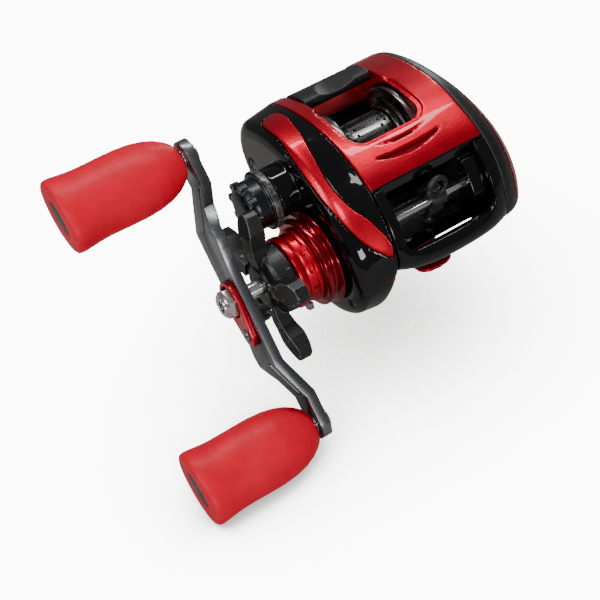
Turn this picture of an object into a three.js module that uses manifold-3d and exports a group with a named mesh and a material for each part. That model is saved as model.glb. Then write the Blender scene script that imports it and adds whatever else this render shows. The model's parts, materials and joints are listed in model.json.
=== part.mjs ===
// Low-profile baitcasting reel, right-hand retrieve, as an assembly of separate pieces.
// Millimetres. +X is the palm side, -X the handle side, -Y the way the line leaves, +Z up.
// The origin is the point of the foot's flat underside straight below the spool's axis.
import * as THREE from 'three';
import * as BufferGeometryUtils from 'three/addons/utils/BufferGeometryUtils.js';
import Module from 'manifold-3d';

const wasm = await Module();
wasm.setup();

// ---------------------------------------------------------------- driving dimensions
const GAP = 0.3;                       // clearance between neighbouring pieces
const SPOOL_HEIGHT = 26;               // spool axis above the foot's underside
const SPOOL_RADIUS = 16;               // flange radius, a 32 mm spool
const SPOOL_HALF = 12.3;               // half the width over the flanges
const GEAR_MODULE = 0.6;
const DRIVE_TEETH = 66;
const PINION_TEETH = 11;
const WIND_TEETH = 34;                 // level-wind gear on the main shaft
const WORM_TEETH = 17;                 // its gear on the worm shaft
const SHAFT_DIRECTION = THREE.MathUtils.degToRad(-132);   // from the spool axis to the main shaft
const WORM_DIRECTION = THREE.MathUtils.degToRad(138);     // from the main shaft to the worm shaft
const FRAME_LEFT = -17.6;              // outer face of the frame's gear-side wall
const FRAME_RIGHT = 23.5;              // outer face of the frame's palm-side ring
const CHAMBER = 12.8;                  // half the clear width of the spool opening
const BRIDGE_FRONT = -29;              // front edge of the bridge over the line guide
const CHAMBER_FLOOR = 10.8;            // floor under the line guide
const COVER_FACE = -30;                // outer face of the gear-side cover
const PALM_FACE = 34.5;                // outermost point of the palm side
const FOOT_LENGTH = 64;
const FOOT_WIDTH = 13;
const FOOT_FRONT = -36.5;
const FOOT_THICKNESS = 2.5;
const HANDLE_REACH = 45;               // main shaft to each knob axis, a 90 mm handle
const HANDLE_ANGLE = THREE.MathUtils.degToRad(50);        // back arm above the level
const KNOB_LENGTH = 41;
const STAR_RADIUS = 26;
const STAR_ARMS = 5;
const GUIDE_AT = 3.5;                  // where the line guide stands along the worm

// axis positions in the Y-Z plane
const shaftDistance = GEAR_MODULE * (DRIVE_TEETH + PINION_TEETH) / 2;
const SHAFT_Y = shaftDistance * Math.cos(SHAFT_DIRECTION);
const SHAFT_Z = SPOOL_HEIGHT + shaftDistance * Math.sin(SHAFT_DIRECTION);
const wormDistance = GEAR_MODULE * (WIND_TEETH + WORM_TEETH) / 2;
const WORM_Y = SHAFT_Y + wormDistance * Math.cos(WORM_DIRECTION);
const WORM_Z = SHAFT_Z + wormDistance * Math.sin(WORM_DIRECTION);
const ROD_Y = -31.7;
const ROD_Z = 23.4;

// ---------------------------------------------------------------- finishes
const finish = (color, roughness, metalness) => (
  new THREE.MeshStandardMaterial({ color, roughness, metalness }));
const RED = finish(0xc8101c, 0.3, 0.7);
const DEEP_RED = finish(0x8e0d16, 0.3, 0.7);
const BLACK = finish(0x08080a, 0.12, 0.2);
const SATIN_BLACK = finish(0x2b2c2e, 0.45, 0.4);
const GUNMETAL = finish(0x55585a, 0.35, 0.9);
const STEEL = finish(0xc9cbcd, 0.22, 1);
const BRASS = finish(0xc59a48, 0.3, 1);
const GRIP_RED = finish(0xd3141f, 0.6, 0);
const CARBON = finish(0x24262a, 0.7, 0.1);
const PALE = finish(0xd8d8d2, 0.5, 0);

// ---------------------------------------------------------------- shape helpers
const V2 = (x, y) => new THREE.Vector2(x, y);
// a drawing's own x, y and depth laid on the reel's axes; SEEN_FROM_ABOVE draws (y, x), depth down
const ALONG_X = new THREE.Matrix4().makeBasis(
  new THREE.Vector3(0, 1, 0), new THREE.Vector3(0, 0, 1), new THREE.Vector3(1, 0, 0));
const ALONG_Y = new THREE.Matrix4().makeBasis(
  new THREE.Vector3(1, 0, 0), new THREE.Vector3(0, 0, 1), new THREE.Vector3(0, -1, 0));
const SEEN_FROM_ABOVE = new THREE.Matrix4().makeBasis(
  new THREE.Vector3(0, 1, 0), new THREE.Vector3(1, 0, 0), new THREE.Vector3(0, 0, -1));

function solid(geometry) {
  const bare = geometry.clone();
  bare.deleteAttribute('normal');
  bare.deleteAttribute('uv');
  const merged = BufferGeometryUtils.mergeVertices(bare, 1e-4);
  const kept = [];
  for (let i = 0; i < merged.index.count; i += 3) {
    const [a, b, c] = [0, 1, 2].map((k) => merged.index.getX(i + k));
    if (a !== b && b !== c && c !== a) kept.push(a, b, c);
  }
  const build = (triangles) => new wasm.Manifold(new wasm.Mesh({
    numProp: 3,
    vertProperties: new Float32Array(merged.attributes.position.array),
    triVerts: new Uint32Array(triangles),
  }));
  const made = build(kept);
  if (made.volume() > 0) return made;
  const flipped = [];
  for (let i = 0; i < kept.length; i += 3) flipped.push(kept[i], kept[i + 2], kept[i + 1]);
  return build(flipped);
}

function prism(shape, from, to, matrix = ALONG_X, curveSegments = 3) {
  const depth = to - from;
  const geometry = new THREE.ExtrudeGeometry(shape, { depth, bevelEnabled: false, curveSegments });
  geometry.translate(0, 0, from);
  return solid(geometry.applyMatrix4(matrix));
}

// an outline through the given points, closed smoothly
function smoothOutline(points, inset = 0) {
  const share = 1 / points.length;
  const middle = points.reduce((sum, p) => [sum[0] + p[0] * share, sum[1] + p[1] * share], [0, 0]);
  const drawn = points.map(([x, y]) => {
    const reach = Math.hypot(x - middle[0], y - middle[1]);
    const keep = (reach - inset) / reach;
    return V2(middle[0] + (x - middle[0]) * keep, middle[1] + (y - middle[1]) * keep);
  });
  const shape = new THREE.Shape();
  shape.moveTo(drawn[0].x, drawn[0].y);
  shape.splineThru([...drawn.slice(1), drawn[0]]);
  return shape;
}

function polygon(points) {
  return new THREE.Shape(points.map(([x, y]) => V2(x, y)));
}

function roundedBox(x0, x1, y0, y1, radius) {
  const shape = new THREE.Shape();
  shape.absarc(x1 - radius, y1 - radius, radius, 0, Math.PI / 2);
  shape.absarc(x0 + radius, y1 - radius, radius, Math.PI / 2, Math.PI);
  shape.absarc(x0 + radius, y0 + radius, radius, Math.PI, Math.PI * 1.5);
  shape.absarc(x1 - radius, y0 + radius, radius, Math.PI * 1.5, Math.PI * 2);
  return shape;
}

// a plain block from corner to corner
function block([x0, y0, z0], [x1, y1, z1]) {
  const geometry = new THREE.BoxGeometry(x1 - x0, y1 - y0, z1 - z0);
  geometry.translate((x0 + x1) / 2, (y0 + y1) / 2, (z0 + z1) / 2);
  return solid(geometry);
}

// a turned piece about the X axis; the profile lists [x, radius]
function turned(profile, segments = 20) {
  const lathe = new THREE.LatheGeometry(profile.map(([x, r]) => V2(r, x)), segments);
  return solid(lathe.applyMatrix4(SEEN_FROM_ABOVE));
}

function disc(x0, x1, radius, bore = 0, segments = 20) {
  const profile = bore > 0
    ? [[x0, bore], [x0, radius], [x1, radius], [x1, bore], [x0, bore]]
    : [[x0, 0], [x0, radius], [x1, radius], [x1, 0]];
  return turned(profile, segments);
}

const at = (shape, y, z) => shape.translate([0, y, z]);

// involute teeth; a tooth is centred on the drawing's first axis
function gearShape(teeth, bore, backlash, addendum = 1) {
  const pitch = GEAR_MODULE * teeth / 2;
  const base = pitch * Math.cos(Math.PI / 9);
  const tip = pitch + addendum * GEAR_MODULE;
  const root = pitch - 1.3 * GEAR_MODULE;
  const involute = (r) => {
    const angle = Math.acos(Math.min(1, base / Math.max(r, base)));
    return Math.tan(angle) - angle;
  };
  const halfTooth = (r) => Math.PI / (2 * teeth) - backlash / (2 * pitch) + involute(pitch) - involute(r);
  const radii = teeth > 12 ? [root, tip] : [root, pitch, tip];
  const points = [];
  for (let tooth = 0; tooth < teeth; tooth += 1) {
    const centre = 2 * Math.PI * tooth / teeth;
    const flank = radii.map((r) => [r, halfTooth(r)]);
    for (const [r, half] of flank) points.push(V2(r * Math.cos(centre - half), r * Math.sin(centre - half)));
    for (const [r, half] of flank.reverse()) {
      points.push(V2(r * Math.cos(centre + half), r * Math.sin(centre + half)));
    }
  }
  const shape = new THREE.Shape(points);
  const hole = new THREE.Path();
  hole.absarc(0, 0, bore, 0, Math.PI * 2, true);
  shape.holes.push(hole);
  return shape;
}

const gear = (teeth, x0, x1, bore, backlash, addendum) =>
  prism(gearShape(teeth, bore, backlash, addendum), x0, x1, ALONG_X, 8);

const reel = new THREE.Group();
const onSpoolAxis = new THREE.Group();
onSpoolAxis.position.set(0, 0, SPOOL_HEIGHT);
const onShaft = new THREE.Group();
onShaft.position.set(0, SHAFT_Y, SHAFT_Z);
const onWorm = new THREE.Group();
onWorm.position.set(0, WORM_Y, WORM_Z);
reel.add(onSpoolAxis, onShaft, onWorm);

// one closed body: the largest, without slivers that a cut leaves behind
function largest(shape) {
  const bodies = shape.decompose();
  return bodies.reduce((best, body) => (body.volume() > best.volume() ? body : best));
}

function piece(name, shape, material, parent = reel) {
  const mesh = largest(shape).getMesh();
  const geometry = new THREE.BufferGeometry();
  geometry.setAttribute('position', new THREE.BufferAttribute(new Float32Array(mesh.vertProperties), 3));
  geometry.setIndex(new THREE.BufferAttribute(new Uint32Array(mesh.triVerts), 1));
  const node = new THREE.Mesh(geometry, material);
  node.name = name;
  parent.add(node);
  return node;
}

// ---------------------------------------------------------------- body envelope
// Side outlines of the body, [y, z], point for point alike, so that one flows into the next.
const BODY = [[28, 36.5], [15, 42], [0, 43.8], [-10, 43.2], [-19, 40.5], [-28.8, 35.6], [-37, 27.5],
  [-42, 18.5],
  [-44.2, 13], [-42.4, 9.8], [-33, 8.2], [-18, 6.8], [0, 5.6], [13, 7], [24, 13.4], [30, 23], [31, 29.5]];
const GEAR_INNER = [[28, 36.5], [15, 42], [0, 43.8], [-10, 43.2], [-19, 40.5], [-28.8, 35.6], [-35.8, 27.8],
  [-40.2, 19], [-39.6, 12.4], [-35.6, 6.2], [-30.4, -0.8], [-21.8, -8.6], [-11, -11.6], [2, -9], [15, 1.5],
  [26, 14],
  [30.8, 27]];
const GEAR_OUTER = [[27.5, 35], [16, 40], [3, 41.2], [-8, 39], [-16, 35.8], [-25, 30.4], [-32, 22.8],
  [-36.8, 14], [-37.8, 6.6], [-35, -1.2], [-29.8, -8], [-21.6, -12.4], [-11.5, -13.3], [0, -9], [14, 1],
  [25.6, 14], [30.4, 26]];
const PALM_INNER = [[28, 36.5], [15, 42], [0, 43.8], [-10, 43.2], [-19, 40.5], [-28.8, 35.6], [-36.4, 27.4],
  [-39.8, 18.5], [-40.6, 12], [-37, 6.8], [-31, 1], [-20, -3], [-6, -3.6], [7, -2], [18, 4],
  [27, 15], [30.8, 27]];
const PALM_OUTER = [[22, 31.4], [12, 34], [0, 34.8], [-9, 34.6], [-17, 33.2], [-25, 29.6], [-31, 23.6],
  [-34, 17], [-34.6, 9.6], [-32, 3], [-26, -1], [-17, -3], [-6, -3.4], [5, -2], [14, 3],
  [21.6, 12.6], [24.4, 24]];
const HOOD_LEFT = [...GEAR_INNER.slice(0, 8), [-40.8, 14.8], [-38.2, 10.6], ...BODY.slice(10)];
const HOOD_RIGHT = [...PALM_INNER.slice(0, 9), [-38.6, 9.2], ...BODY.slice(10)];

const between = (from, to, t) => from.map(([y, z], i) => [y + (to[i][0] - y) * t, z + (to[i][1] - z) * t]);

// a closed ring through the points, pulled in towards the middle by the inset
function ringOf(points, inset, count) {
  const through = points.map(([y, z]) => new THREE.Vector3(0, y, z));
  const curve = new THREE.CatmullRomCurve3(through, true, 'centripetal');
  const ring = Array.from({ length: count }, (_, i) => curve.getPoint(i / count));
  return ring.map((p, i) => {
    const before = ring[(i + count - 1) % count];
    const after = ring[(i + 1) % count];
    const run = Math.hypot(after.y - before.y, after.z - before.z);
    return V2(p.y - inset * (after.z - before.z) / run, p.z + inset * (after.y - before.y) / run);
  });
}

// a skin over sections that stand across X; each section is [x, outline, inset]
function loft(sections, inset = 0, count = 40) {
  const rings = sections.map(([x, outline, pull]) => ringOf(outline, (pull || 0) + inset, count)
    .map((p) => new THREE.Vector3(x, p.x, p.y)));
  const cap = THREE.ShapeUtils.triangulateShape(rings[0].map((p) => V2(p.y, p.z)), []);
  const triangles = [];
  rings.slice(1).forEach((ring, k) => {
    const low = k * count;
    for (let i = 0; i < count; i += 1) {
      const next = (i + 1) % count;
      triangles.push(low + i, low + next, low + count + i, low + next, low + count + next, low + count + i);
    }
  });
  const top = (rings.length - 1) * count;
  for (const [a, b, c] of cap) triangles.push(c, b, a, top + a, top + b, top + c);
  const geometry = new THREE.BufferGeometry().setFromPoints(rings.flat());
  geometry.setIndex(triangles);
  return solid(geometry);
}

// the cover swells round the drive gear, part of the way out
const swelling = between(GEAR_INNER, GEAR_OUTER, 0.3);
const GEAR_MIDDLE = [...swelling.slice(0, 8), [-39.6, 9.6], [-36.2, 0.2], [-30.6, -7.4], [-22, -12.4],
  [-11, -13.2], ...swelling.slice(13)];
const GEAR_SECTIONS = [[-30.2, GEAR_OUTER, 4.4], [-29.4, GEAR_OUTER, 2.1], [-27.6, GEAR_OUTER, 0.4],
  [-25.4, between(GEAR_MIDDLE, GEAR_OUTER, 0.85), 0], [-19.6, GEAR_MIDDLE, 0], [-17.4, GEAR_INNER, 0]];
const PALM_SECTIONS = [[23.3, PALM_INNER, 0], [26.4, between(PALM_INNER, PALM_OUTER, 0.12), 0],
  [29, between(PALM_INNER, PALM_OUTER, 0.36), 0], [31.4, between(PALM_INNER, PALM_OUTER, 0.68), 0],
  [33, PALM_OUTER, 0], [34, PALM_OUTER, 2.6], [PALM_FACE, PALM_OUTER, 6]];
const HOOD_SECTIONS = [[FRAME_LEFT, HOOD_LEFT], [-12, between(HOOD_LEFT, BODY, 0.6)],
  [-4, between(HOOD_LEFT, BODY, 0.94)], [6, BODY], [15, between(HOOD_RIGHT, BODY, 0.8)],
  [20.4, between(HOOD_RIGHT, BODY, 0.4)], [FRAME_RIGHT, HOOD_RIGHT]];

// a slice of a skin with straight ends, for walls that follow it at a distance
function slice(outline, x0, x1, inset) {
  return loft([[x0, outline, 0], [x1, outline, 0]], inset);
}

// a round outline about a point off the axis
function lobe(radius, y, z) {
  const shape = new THREE.Shape();
  shape.absarc(y, z, radius, 0, Math.PI * 2);
  return shape;
}

// ---------------------------------------------------------------- frame, with the foot in one piece
const POCKET_FLOOR = -14.9;            // the wall behind the gears
function makeFrame() {
  const behindBridge = block([-40, BRIDGE_FRONT, -20], [40, 40, 60]);
  let body = slice(BODY, FRAME_LEFT, FRAME_RIGHT, 0).intersect(behindBridge);
  const noseSupport = slice(between(HOOD_LEFT, HOOD_RIGHT, 0.5), FRAME_LEFT + 0.6, FRAME_RIGHT - 0.6, 2.3)
    .intersect(block([-40, -36.6, 7], [40, BRIDGE_FRONT + 1, 31]));
  const gearWall = slice(GEAR_INNER, FRAME_LEFT, -CHAMBER, 0.3).intersect(behindBridge);
  body = body.add(noseSupport).add(gearWall);
  // the spool goes in through the palm-side ring
  body = body.subtract(at(disc(-CHAMBER, 30, SPOOL_RADIUS + 0.6, 0, 32), 0, SPOOL_HEIGHT));
  // thumb opening over the spool
  const opening = roundedBox(-CHAMBER, CHAMBER, -14.6, 40, 5);
  body = body.subtract(prism(opening, 31, 60, new THREE.Matrix4(), 6));
  // line-guide chamber, open to the front
  body = body.subtract(block([-CHAMBER, -50, CHAMBER_FLOOR], [CHAMBER + 1.4, -12, 32]));
  // two grooves across the bridge
  for (const [y, half, wide, curve] of [[-17.6, 10.4, 0.8, 1.3], [-22.4, 11.4, 1.7, 1.7]]) {
    const groove = new THREE.Shape();
    groove.moveTo(-half, y + curve);
    groove.quadraticCurveTo(1.5, y - curve * 1.2 - wide, half + 3, y + curve);
    groove.quadraticCurveTo(1.5, y - curve * 1.2 + wide, -half, y + curve);
    body = body.subtract(prism(groove, 33, 60, new THREE.Matrix4(), 8).subtract(slice(BODY, -40, 40, 1.3)));
  }
  // pocket for the gears in the outer side of the gear-side wall
  body = body.subtract(slice(GEAR_INNER, FRAME_LEFT - 1, POCKET_FLOOR, 3).intersect(block([-40, -27.6, -20],
    [0, 40, 38])));
  body = body.subtract(at(disc(-20, POCKET_FLOOR, 6.2, 0, 18), WORM_Y, WORM_Z));
  // seats for the pinion bearing, the main shaft, the worm shaft and the guide rod
  body = body.subtract(at(disc(-20, -CHAMBER + 1, 5.6, 0, 18), 0, SPOOL_HEIGHT));
  body = body.subtract(at(disc(-20, -CHAMBER + 1, 2.9, 0, 14), SHAFT_Y, SHAFT_Z));
  body = body.subtract(at(disc(-20, 19, 2.4, 0, 14), WORM_Y, WORM_Z));
  body = body.subtract(at(disc(-15.5, 17.4, 1.4, 0, 8), ROD_Y, ROD_Z));
  // slot that the thumb bar's tongue passes through
  body = body.subtract(block([-20, 18.6, 30.6], [-CHAMBER + 1, 22.4, 38.6]));
  return body.add(makeFoot());
}

function makeFoot() {
  const outline = new THREE.Shape();
  const half = FOOT_WIDTH / 2;
  const back = FOOT_FRONT + FOOT_LENGTH;
  outline.moveTo(-half, FOOT_FRONT + 4);
  outline.quadraticCurveTo(-half, FOOT_FRONT, 0, FOOT_FRONT);
  outline.quadraticCurveTo(half, FOOT_FRONT, half, FOOT_FRONT + 4);
  outline.lineTo(half, back - 4);
  outline.quadraticCurveTo(half, back, 0, back);
  outline.quadraticCurveTo(-half, back, -half, back - 4);
  let foot = prism(outline, 0, FOOT_THICKNESS, new THREE.Matrix4(), 6);
  // the ends thin to ramps that slide under the rod's hoods
  for (const [tip, inner] of [[FOOT_FRONT, FOOT_FRONT + 20], [back, back - 20]]) {
    const ramp = polygon([[tip, 1.1], [tip, 5], [inner, 5], [inner, FOOT_THICKNESS]]);
    foot = foot.subtract(prism(ramp, -20, 20));
  }
  const stem = prism(roundedBox(-5.6, 5.6, -16, 13, 4), 1, 6.2, new THREE.Matrix4(), 5);
  return foot.add(stem);
}
piece('frame', makeFrame(), RED);

// ---------------------------------------------------------------- front hood
const LIP_HEIGHT = 17.5;               // top of the nose, where the line runs out over it
function makeHood() {
  const zone = block([FRAME_LEFT + 0.1, -60, 6.9], [FRAME_RIGHT - 0.1, BRIDGE_FRONT - GAP, 60]);
  let hood = loft(HOOD_SECTIONS).intersect(zone);
  const inner = HOOD_SECTIONS.map(([x, outline]) => [x, outline, 1.9]);
  hood = hood.subtract(loft(inner).intersect(block([-40, -60, CHAMBER_FLOOR], [40, 0, 60])));
  const mouth = roundedBox(-14.2, 19.6, LIP_HEIGHT, 60, 3);
  hood = hood.subtract(prism(mouth, 20, 60, ALONG_Y, 5));
  return hood.subtract(block([-40, -37, 0], [40, 0, CHAMBER_FLOOR + 0.4]));
}
piece('front_hood', makeHood(), BLACK);

// ---------------------------------------------------------------- gear-side cover
const BOSS_RADIUS = 9;
const COVER_WALL = 1.4;
const COVER_SCREWS = [[20.5, 23], [6.5, 1.6]];
const innerOf = (sections, wall) => sections.map(([x, outline, pull]) => [x, outline, (pull || 0) + wall]);
function makeGearCover() {
  const left = block([-60, -60, -40], [FRAME_LEFT - GAP, 60, 60]);
  const behindFace = block([COVER_FACE + 1.6, -60, -40], [0, 60, 60]);
  const hollow = loft(innerOf(GEAR_SECTIONS, COVER_WALL)).intersect(behindFace);
  let cover = loft(GEAR_SECTIONS).intersect(left);
  const boss = at(disc(-36.8, COVER_FACE + 0.5, BOSS_RADIUS, 0, 20), 0, SPOOL_HEIGHT);
  const shaftBoss = at(disc(-31, COVER_FACE + 0.5, 12.4, 0, 20), SHAFT_Y, SHAFT_Z);
  const roomForFlange = at(disc(-40, -31, 16, 0, 20), SHAFT_Y, SHAFT_Z);
  cover = cover.add(boss.subtract(roomForFlange)).add(shaftBoss).subtract(hollow);
  cover = cover.subtract(at(disc(-35, -27, 5.4, 0, 16), 0, SPOOL_HEIGHT));
  cover = cover.subtract(at(disc(-40, -27, 3, 0, 16), 0, SPOOL_HEIGHT));
  cover = cover.subtract(at(disc(-40, -27, 9.3, 0, 20), SHAFT_Y, SHAFT_Z));
  for (const [y, z] of COVER_SCREWS) {
    cover = cover.subtract(at(disc(-40, -29, 2.3, 0, 14), y, z));
    cover = cover.subtract(at(disc(-40, -14.5, 1.4, 0, 12), y, z));
  }
  // oil port low on the face
  cover = cover.subtract(at(disc(-40, -29.4, 1.5, 0, 10), -31, -1));
  return cover.subtract(makeTrimBand(GAP));
}

COVER_SCREWS.forEach(([y, z], i) => {
  const profile = [[-30.3, 0], [-30.3, 1.6], [-30, 2], [-29.3, 2], [-29.3, 1.1], [-15.3, 1.1], [-15.3, 0]];
  const screw = turned(profile, 12)
    .subtract(block([-31, -0.3, -3], [-29.9, 0.3, 3]));
  piece(`cover_screw_${i + 1}`, at(screw, y, z), STEEL);
});

// The red blade lies in the shoulder of the cover, and runs down to the nose.
function makeTrimBand(slack) {
  const blade = [[17, -20.8], [4, -21.6], [-8, -24], [-18, -25.2], [-26, -24], [-33, -20.6], [-39.2, -18.3],
    [-36, -22.6], [-29, -26.8], [-19, -28.8], [-8, -28.8], [4, -27.6], [17, -26]];
  const outline = new THREE.Shape(ringOf(blade, -slack, 30));
  const band = prism(outline, -60, -7, SEEN_FROM_ABOVE, 3);
  const shell = loft(GEAR_SECTIONS).subtract(loft(innerOf(GEAR_SECTIONS, 0.7 + slack)));
  return band.intersect(shell).intersect(block([-28.9 - slack, -60, 7], [FRAME_LEFT - 0.8 + slack, 60, 60]));
}
piece('gear_side_cover', makeGearCover(), BLACK);

piece('blade_trim', makeTrimBand(0), RED);

// ---------------------------------------------------------------- palm side
const DIAL_Y = -15;
const DIAL_Z = 19;
const DIAL_RADIUS = 10;
const PANEL_SPLIT = 29.2;
function makePalmPlate() {
  const right = block([FRAME_RIGHT + GAP, -60, -40], [PANEL_SPLIT, 60, 60]);
  let plate = loft(PALM_SECTIONS).intersect(right);
  // the brake housing reaches in through the ring
  plate = plate.add(at(disc(17, FRAME_RIGHT + 1, SPOOL_RADIUS + GAP, 0, 32), 0, SPOOL_HEIGHT));
  plate = plate.subtract(at(disc(10, 25.6, SPOOL_RADIUS - 1, 0, 24), 0, SPOOL_HEIGHT));
  return plate.subtract(at(disc(24, 40, 4.2, 0, 16), 0, SPOOL_HEIGHT));
}
piece('palm_side_plate', makePalmPlate(), SATIN_BLACK);

function makePalmPanel() {
  const outer = block([PANEL_SPLIT + GAP, -60, -40], [60, 60, 60]);
  return loft(PALM_SECTIONS).intersect(outer)
    .subtract(at(disc(31.6, 40, DIAL_RADIUS + GAP, 0, 22), DIAL_Y, DIAL_Z))
    .subtract(at(disc(20, 40, 1.9, 0, 10), DIAL_Y, DIAL_Z));
}
piece('palm_side_panel', makePalmPanel(), DEEP_RED);

function makeBrakeDial() {
  const profile = [[31.9, 0], [31.9, 9.4], [32.6, DIAL_RADIUS], [34.6, DIAL_RADIUS], [35.4, 9], [35.4, 0]];
  let dial = turned(profile, 22);
  for (let i = 0; i < 12; i += 1) {
    const turn = 2 * Math.PI * i / 12;
    dial = dial.subtract(at(disc(31, 37, 0.6, 0, 6), 10.3 * Math.cos(turn), 10.3 * Math.sin(turn)));
  }
  return dial.add(block([34, -8.2, -1.1], [36.4, 8.2, 1.1])).add(disc(30, 32.2, 1.5, 0, 10));
}
const dial = piece('brake_dial', makeBrakeDial(), GUNMETAL);
dial.position.set(0, DIAL_Y, DIAL_Z);

// ---------------------------------------------------------------- magnetic brake
const brakeHolder = turned([[19.4, 9.2], [19.4, 14.6], [23.4, 14.6], [23.4, 13], [20.6, 13], [20.6, 9.2],
  [19.4, 9.2]], 18);
piece('magnet_holder', brakeHolder, SATIN_BLACK, onSpoolAxis);
piece('magnet_ring', disc(16.2, 19.1, 13.6, 10.6, 18), STEEL, onSpoolAxis);

// ---------------------------------------------------------------- spool and its shaft
const DRUM_RADIUS = 9.6;
const SHAFT_RADIUS = 1.25;
function makeSpool() {
  const wall = 0.9;
  const lip = SPOOL_HALF - 1.3;
  return turned([
    [-SPOOL_HALF, SPOOL_RADIUS - 1.4], [-SPOOL_HALF, SPOOL_RADIUS], [-lip + 0.2, SPOOL_RADIUS],
    [-lip + 0.5, SPOOL_RADIUS - 1.2], [-8.6, DRUM_RADIUS + 1.2], [-7.6, DRUM_RADIUS], [7.6, DRUM_RADIUS],
    [8.6, DRUM_RADIUS + 1.2], [lip - 0.5, SPOOL_RADIUS - 1.2], [lip - 0.2, SPOOL_RADIUS],
    [SPOOL_HALF, SPOOL_RADIUS], [SPOOL_HALF, SPOOL_RADIUS - 1.4], [9.4, DRUM_RADIUS + 0.6],
    [8, DRUM_RADIUS - wall], [-3, DRUM_RADIUS - wall], [-3, 3.4], [2.4, 3.4], [2.4, SHAFT_RADIUS + GAP],
    [-8, SHAFT_RADIUS + GAP], [-8, 3.4], [-4.2, 3.4], [-4.2, DRUM_RADIUS - wall], [-8, DRUM_RADIUS - wall],
    [-9.4, DRUM_RADIUS + 0.6], [-SPOOL_HALF, SPOOL_RADIUS - 1.4]], 20);
}
piece('spool', makeSpool(), GUNMETAL, onSpoolAxis);

const PIN_X = -13.9;
const spoolShaft = disc(-34.6, 27.6, SHAFT_RADIUS, 0, 12)
  .subtract(at(solid(new THREE.CylinderGeometry(0.72, 0.72, 4, 10).applyMatrix4(ALONG_Y)), 0, 0)
    .translate([PIN_X, 0, 0]));
const slotTurn = SHAFT_DIRECTION + Math.PI / PINION_TEETH;
piece('spool_shaft', spoolShaft, STEEL, onSpoolAxis).rotation.x = slotTurn;
const pinLength = 4.4;
const pin = solid(new THREE.CylinderGeometry(0.42, 0.42, pinLength, 10).applyMatrix4(ALONG_Y));
piece('spool_pin', pin.translate([PIN_X, 0, 0]), STEEL, onSpoolAxis).rotation.x = slotTurn;
const rotor = turned([[9.7, 1.6], [9.7, 3], [13.6, 3], [13.6, 9.9], [19.1, 9.9], [19.1, 9], [14.6, 9],
  [14.6, 1.6], [9.7, 1.6]], 18);
piece('inductor_rotor', rotor, STEEL, onSpoolAxis);

// a ball bearing, its two rings and shields as one ring
const bearing = (x0, x1, outer, bore) => disc(x0, x1, outer, bore, 14);
piece('palm_bearing', bearing(25.2, 28.2, 3.9, SHAFT_RADIUS + GAP), STEEL, onSpoolAxis);
piece('cast_control_bearing', bearing(-34.6, -32, 5, SHAFT_RADIUS + GAP), STEEL, onSpoolAxis);
piece('pinion_bearing', bearing(-14.8, -13, 5.3, 3.25), STEEL, onSpoolAxis);

// ---------------------------------------------------------------- pinion, yoke and clutch
const GROOVE = [-18.4, -17];
function makePinion() {
  const teethPart = gear(PINION_TEETH, -24.4, GROOVE[0], SHAFT_RADIUS + GAP, 0.16, 0.8);
  const neck = disc(GROOVE[0] - 0.5, GROOVE[1] + 0.5, 2.2, SHAFT_RADIUS + GAP, 16);
  const shank = disc(GROOVE[1], -13.1, 2.9, SHAFT_RADIUS + GAP, 16);
  const slot = block([-14.8, -0.8, -4], [-13, 0.8, 4]);
  return teethPart.add(neck).add(shank).subtract(slot);
}
piece('pinion_gear', makePinion(), BRASS, onSpoolAxis).rotation.x = slotTurn;

function makeYoke() {
  const outline = new THREE.Shape();
  outline.absarc(0, 0, 5, Math.PI * 0.06, Math.PI * 0.94);
  outline.lineTo(-11.4, 2.4);
  outline.lineTo(-11.4, 0.2);
  outline.absarc(0, 0, 2.6, Math.PI * 0.97, Math.PI * 0.03, true);
  outline.lineTo(11.4, 0.2);
  outline.lineTo(11.4, 2.4);
  return prism(outline, GROOVE[0] + GAP, GROOVE[1] - GAP, ALONG_X, 10);
}
const yoke = piece('clutch_yoke', makeYoke(), STEEL, onSpoolAxis);
yoke.rotation.x = SHAFT_DIRECTION + Math.PI / 2;

function makeClutchCam() {
  const face = POCKET_FLOOR - GAP;
  const cam = disc(face - 1.2, face, 8.4, 6.2, 20);
  const arm = block([face - 1.2, 7, -2], [face, 13.4, 2]);
  return cam.add(arm);
}
const cam = piece('clutch_cam', makeClutchCam(), STEEL, onSpoolAxis);
cam.rotation.x = THREE.MathUtils.degToRad(8);

const BAR_TRAVEL = 4;
function makeThumbBar() {
  const outline = smoothOutline([[13.2, 42.2], [17, 42.4], [21.5, 41], [25.4, 37.6], [24, 36], [18, 36.2],
    [14, 38.6]]);
  let bar = prism(outline, -CHAMBER + 0.5, CHAMBER - 0.5, ALONG_X, 4);
  for (let drop = 0; drop <= BAR_TRAVEL; drop += 1) {
    bar = bar.subtract(at(disc(-20, 20, SPOOL_RADIUS + 0.6, 0, 32), 0, SPOOL_HEIGHT + drop));
  }
  const dish = new THREE.CylinderGeometry(16, 16, 40, 48).applyMatrix4(ALONG_Y);
  bar = bar.subtract(solid(dish).translate([0, 0, 57.2]));
  const tongue = block([-17.2, 19.2, 35], [-CHAMBER + 0.9, 21.6, 37.9]);
  return bar.add(tongue);
}
piece('thumb_bar', makeThumbBar(), SATIN_BLACK);

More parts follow.
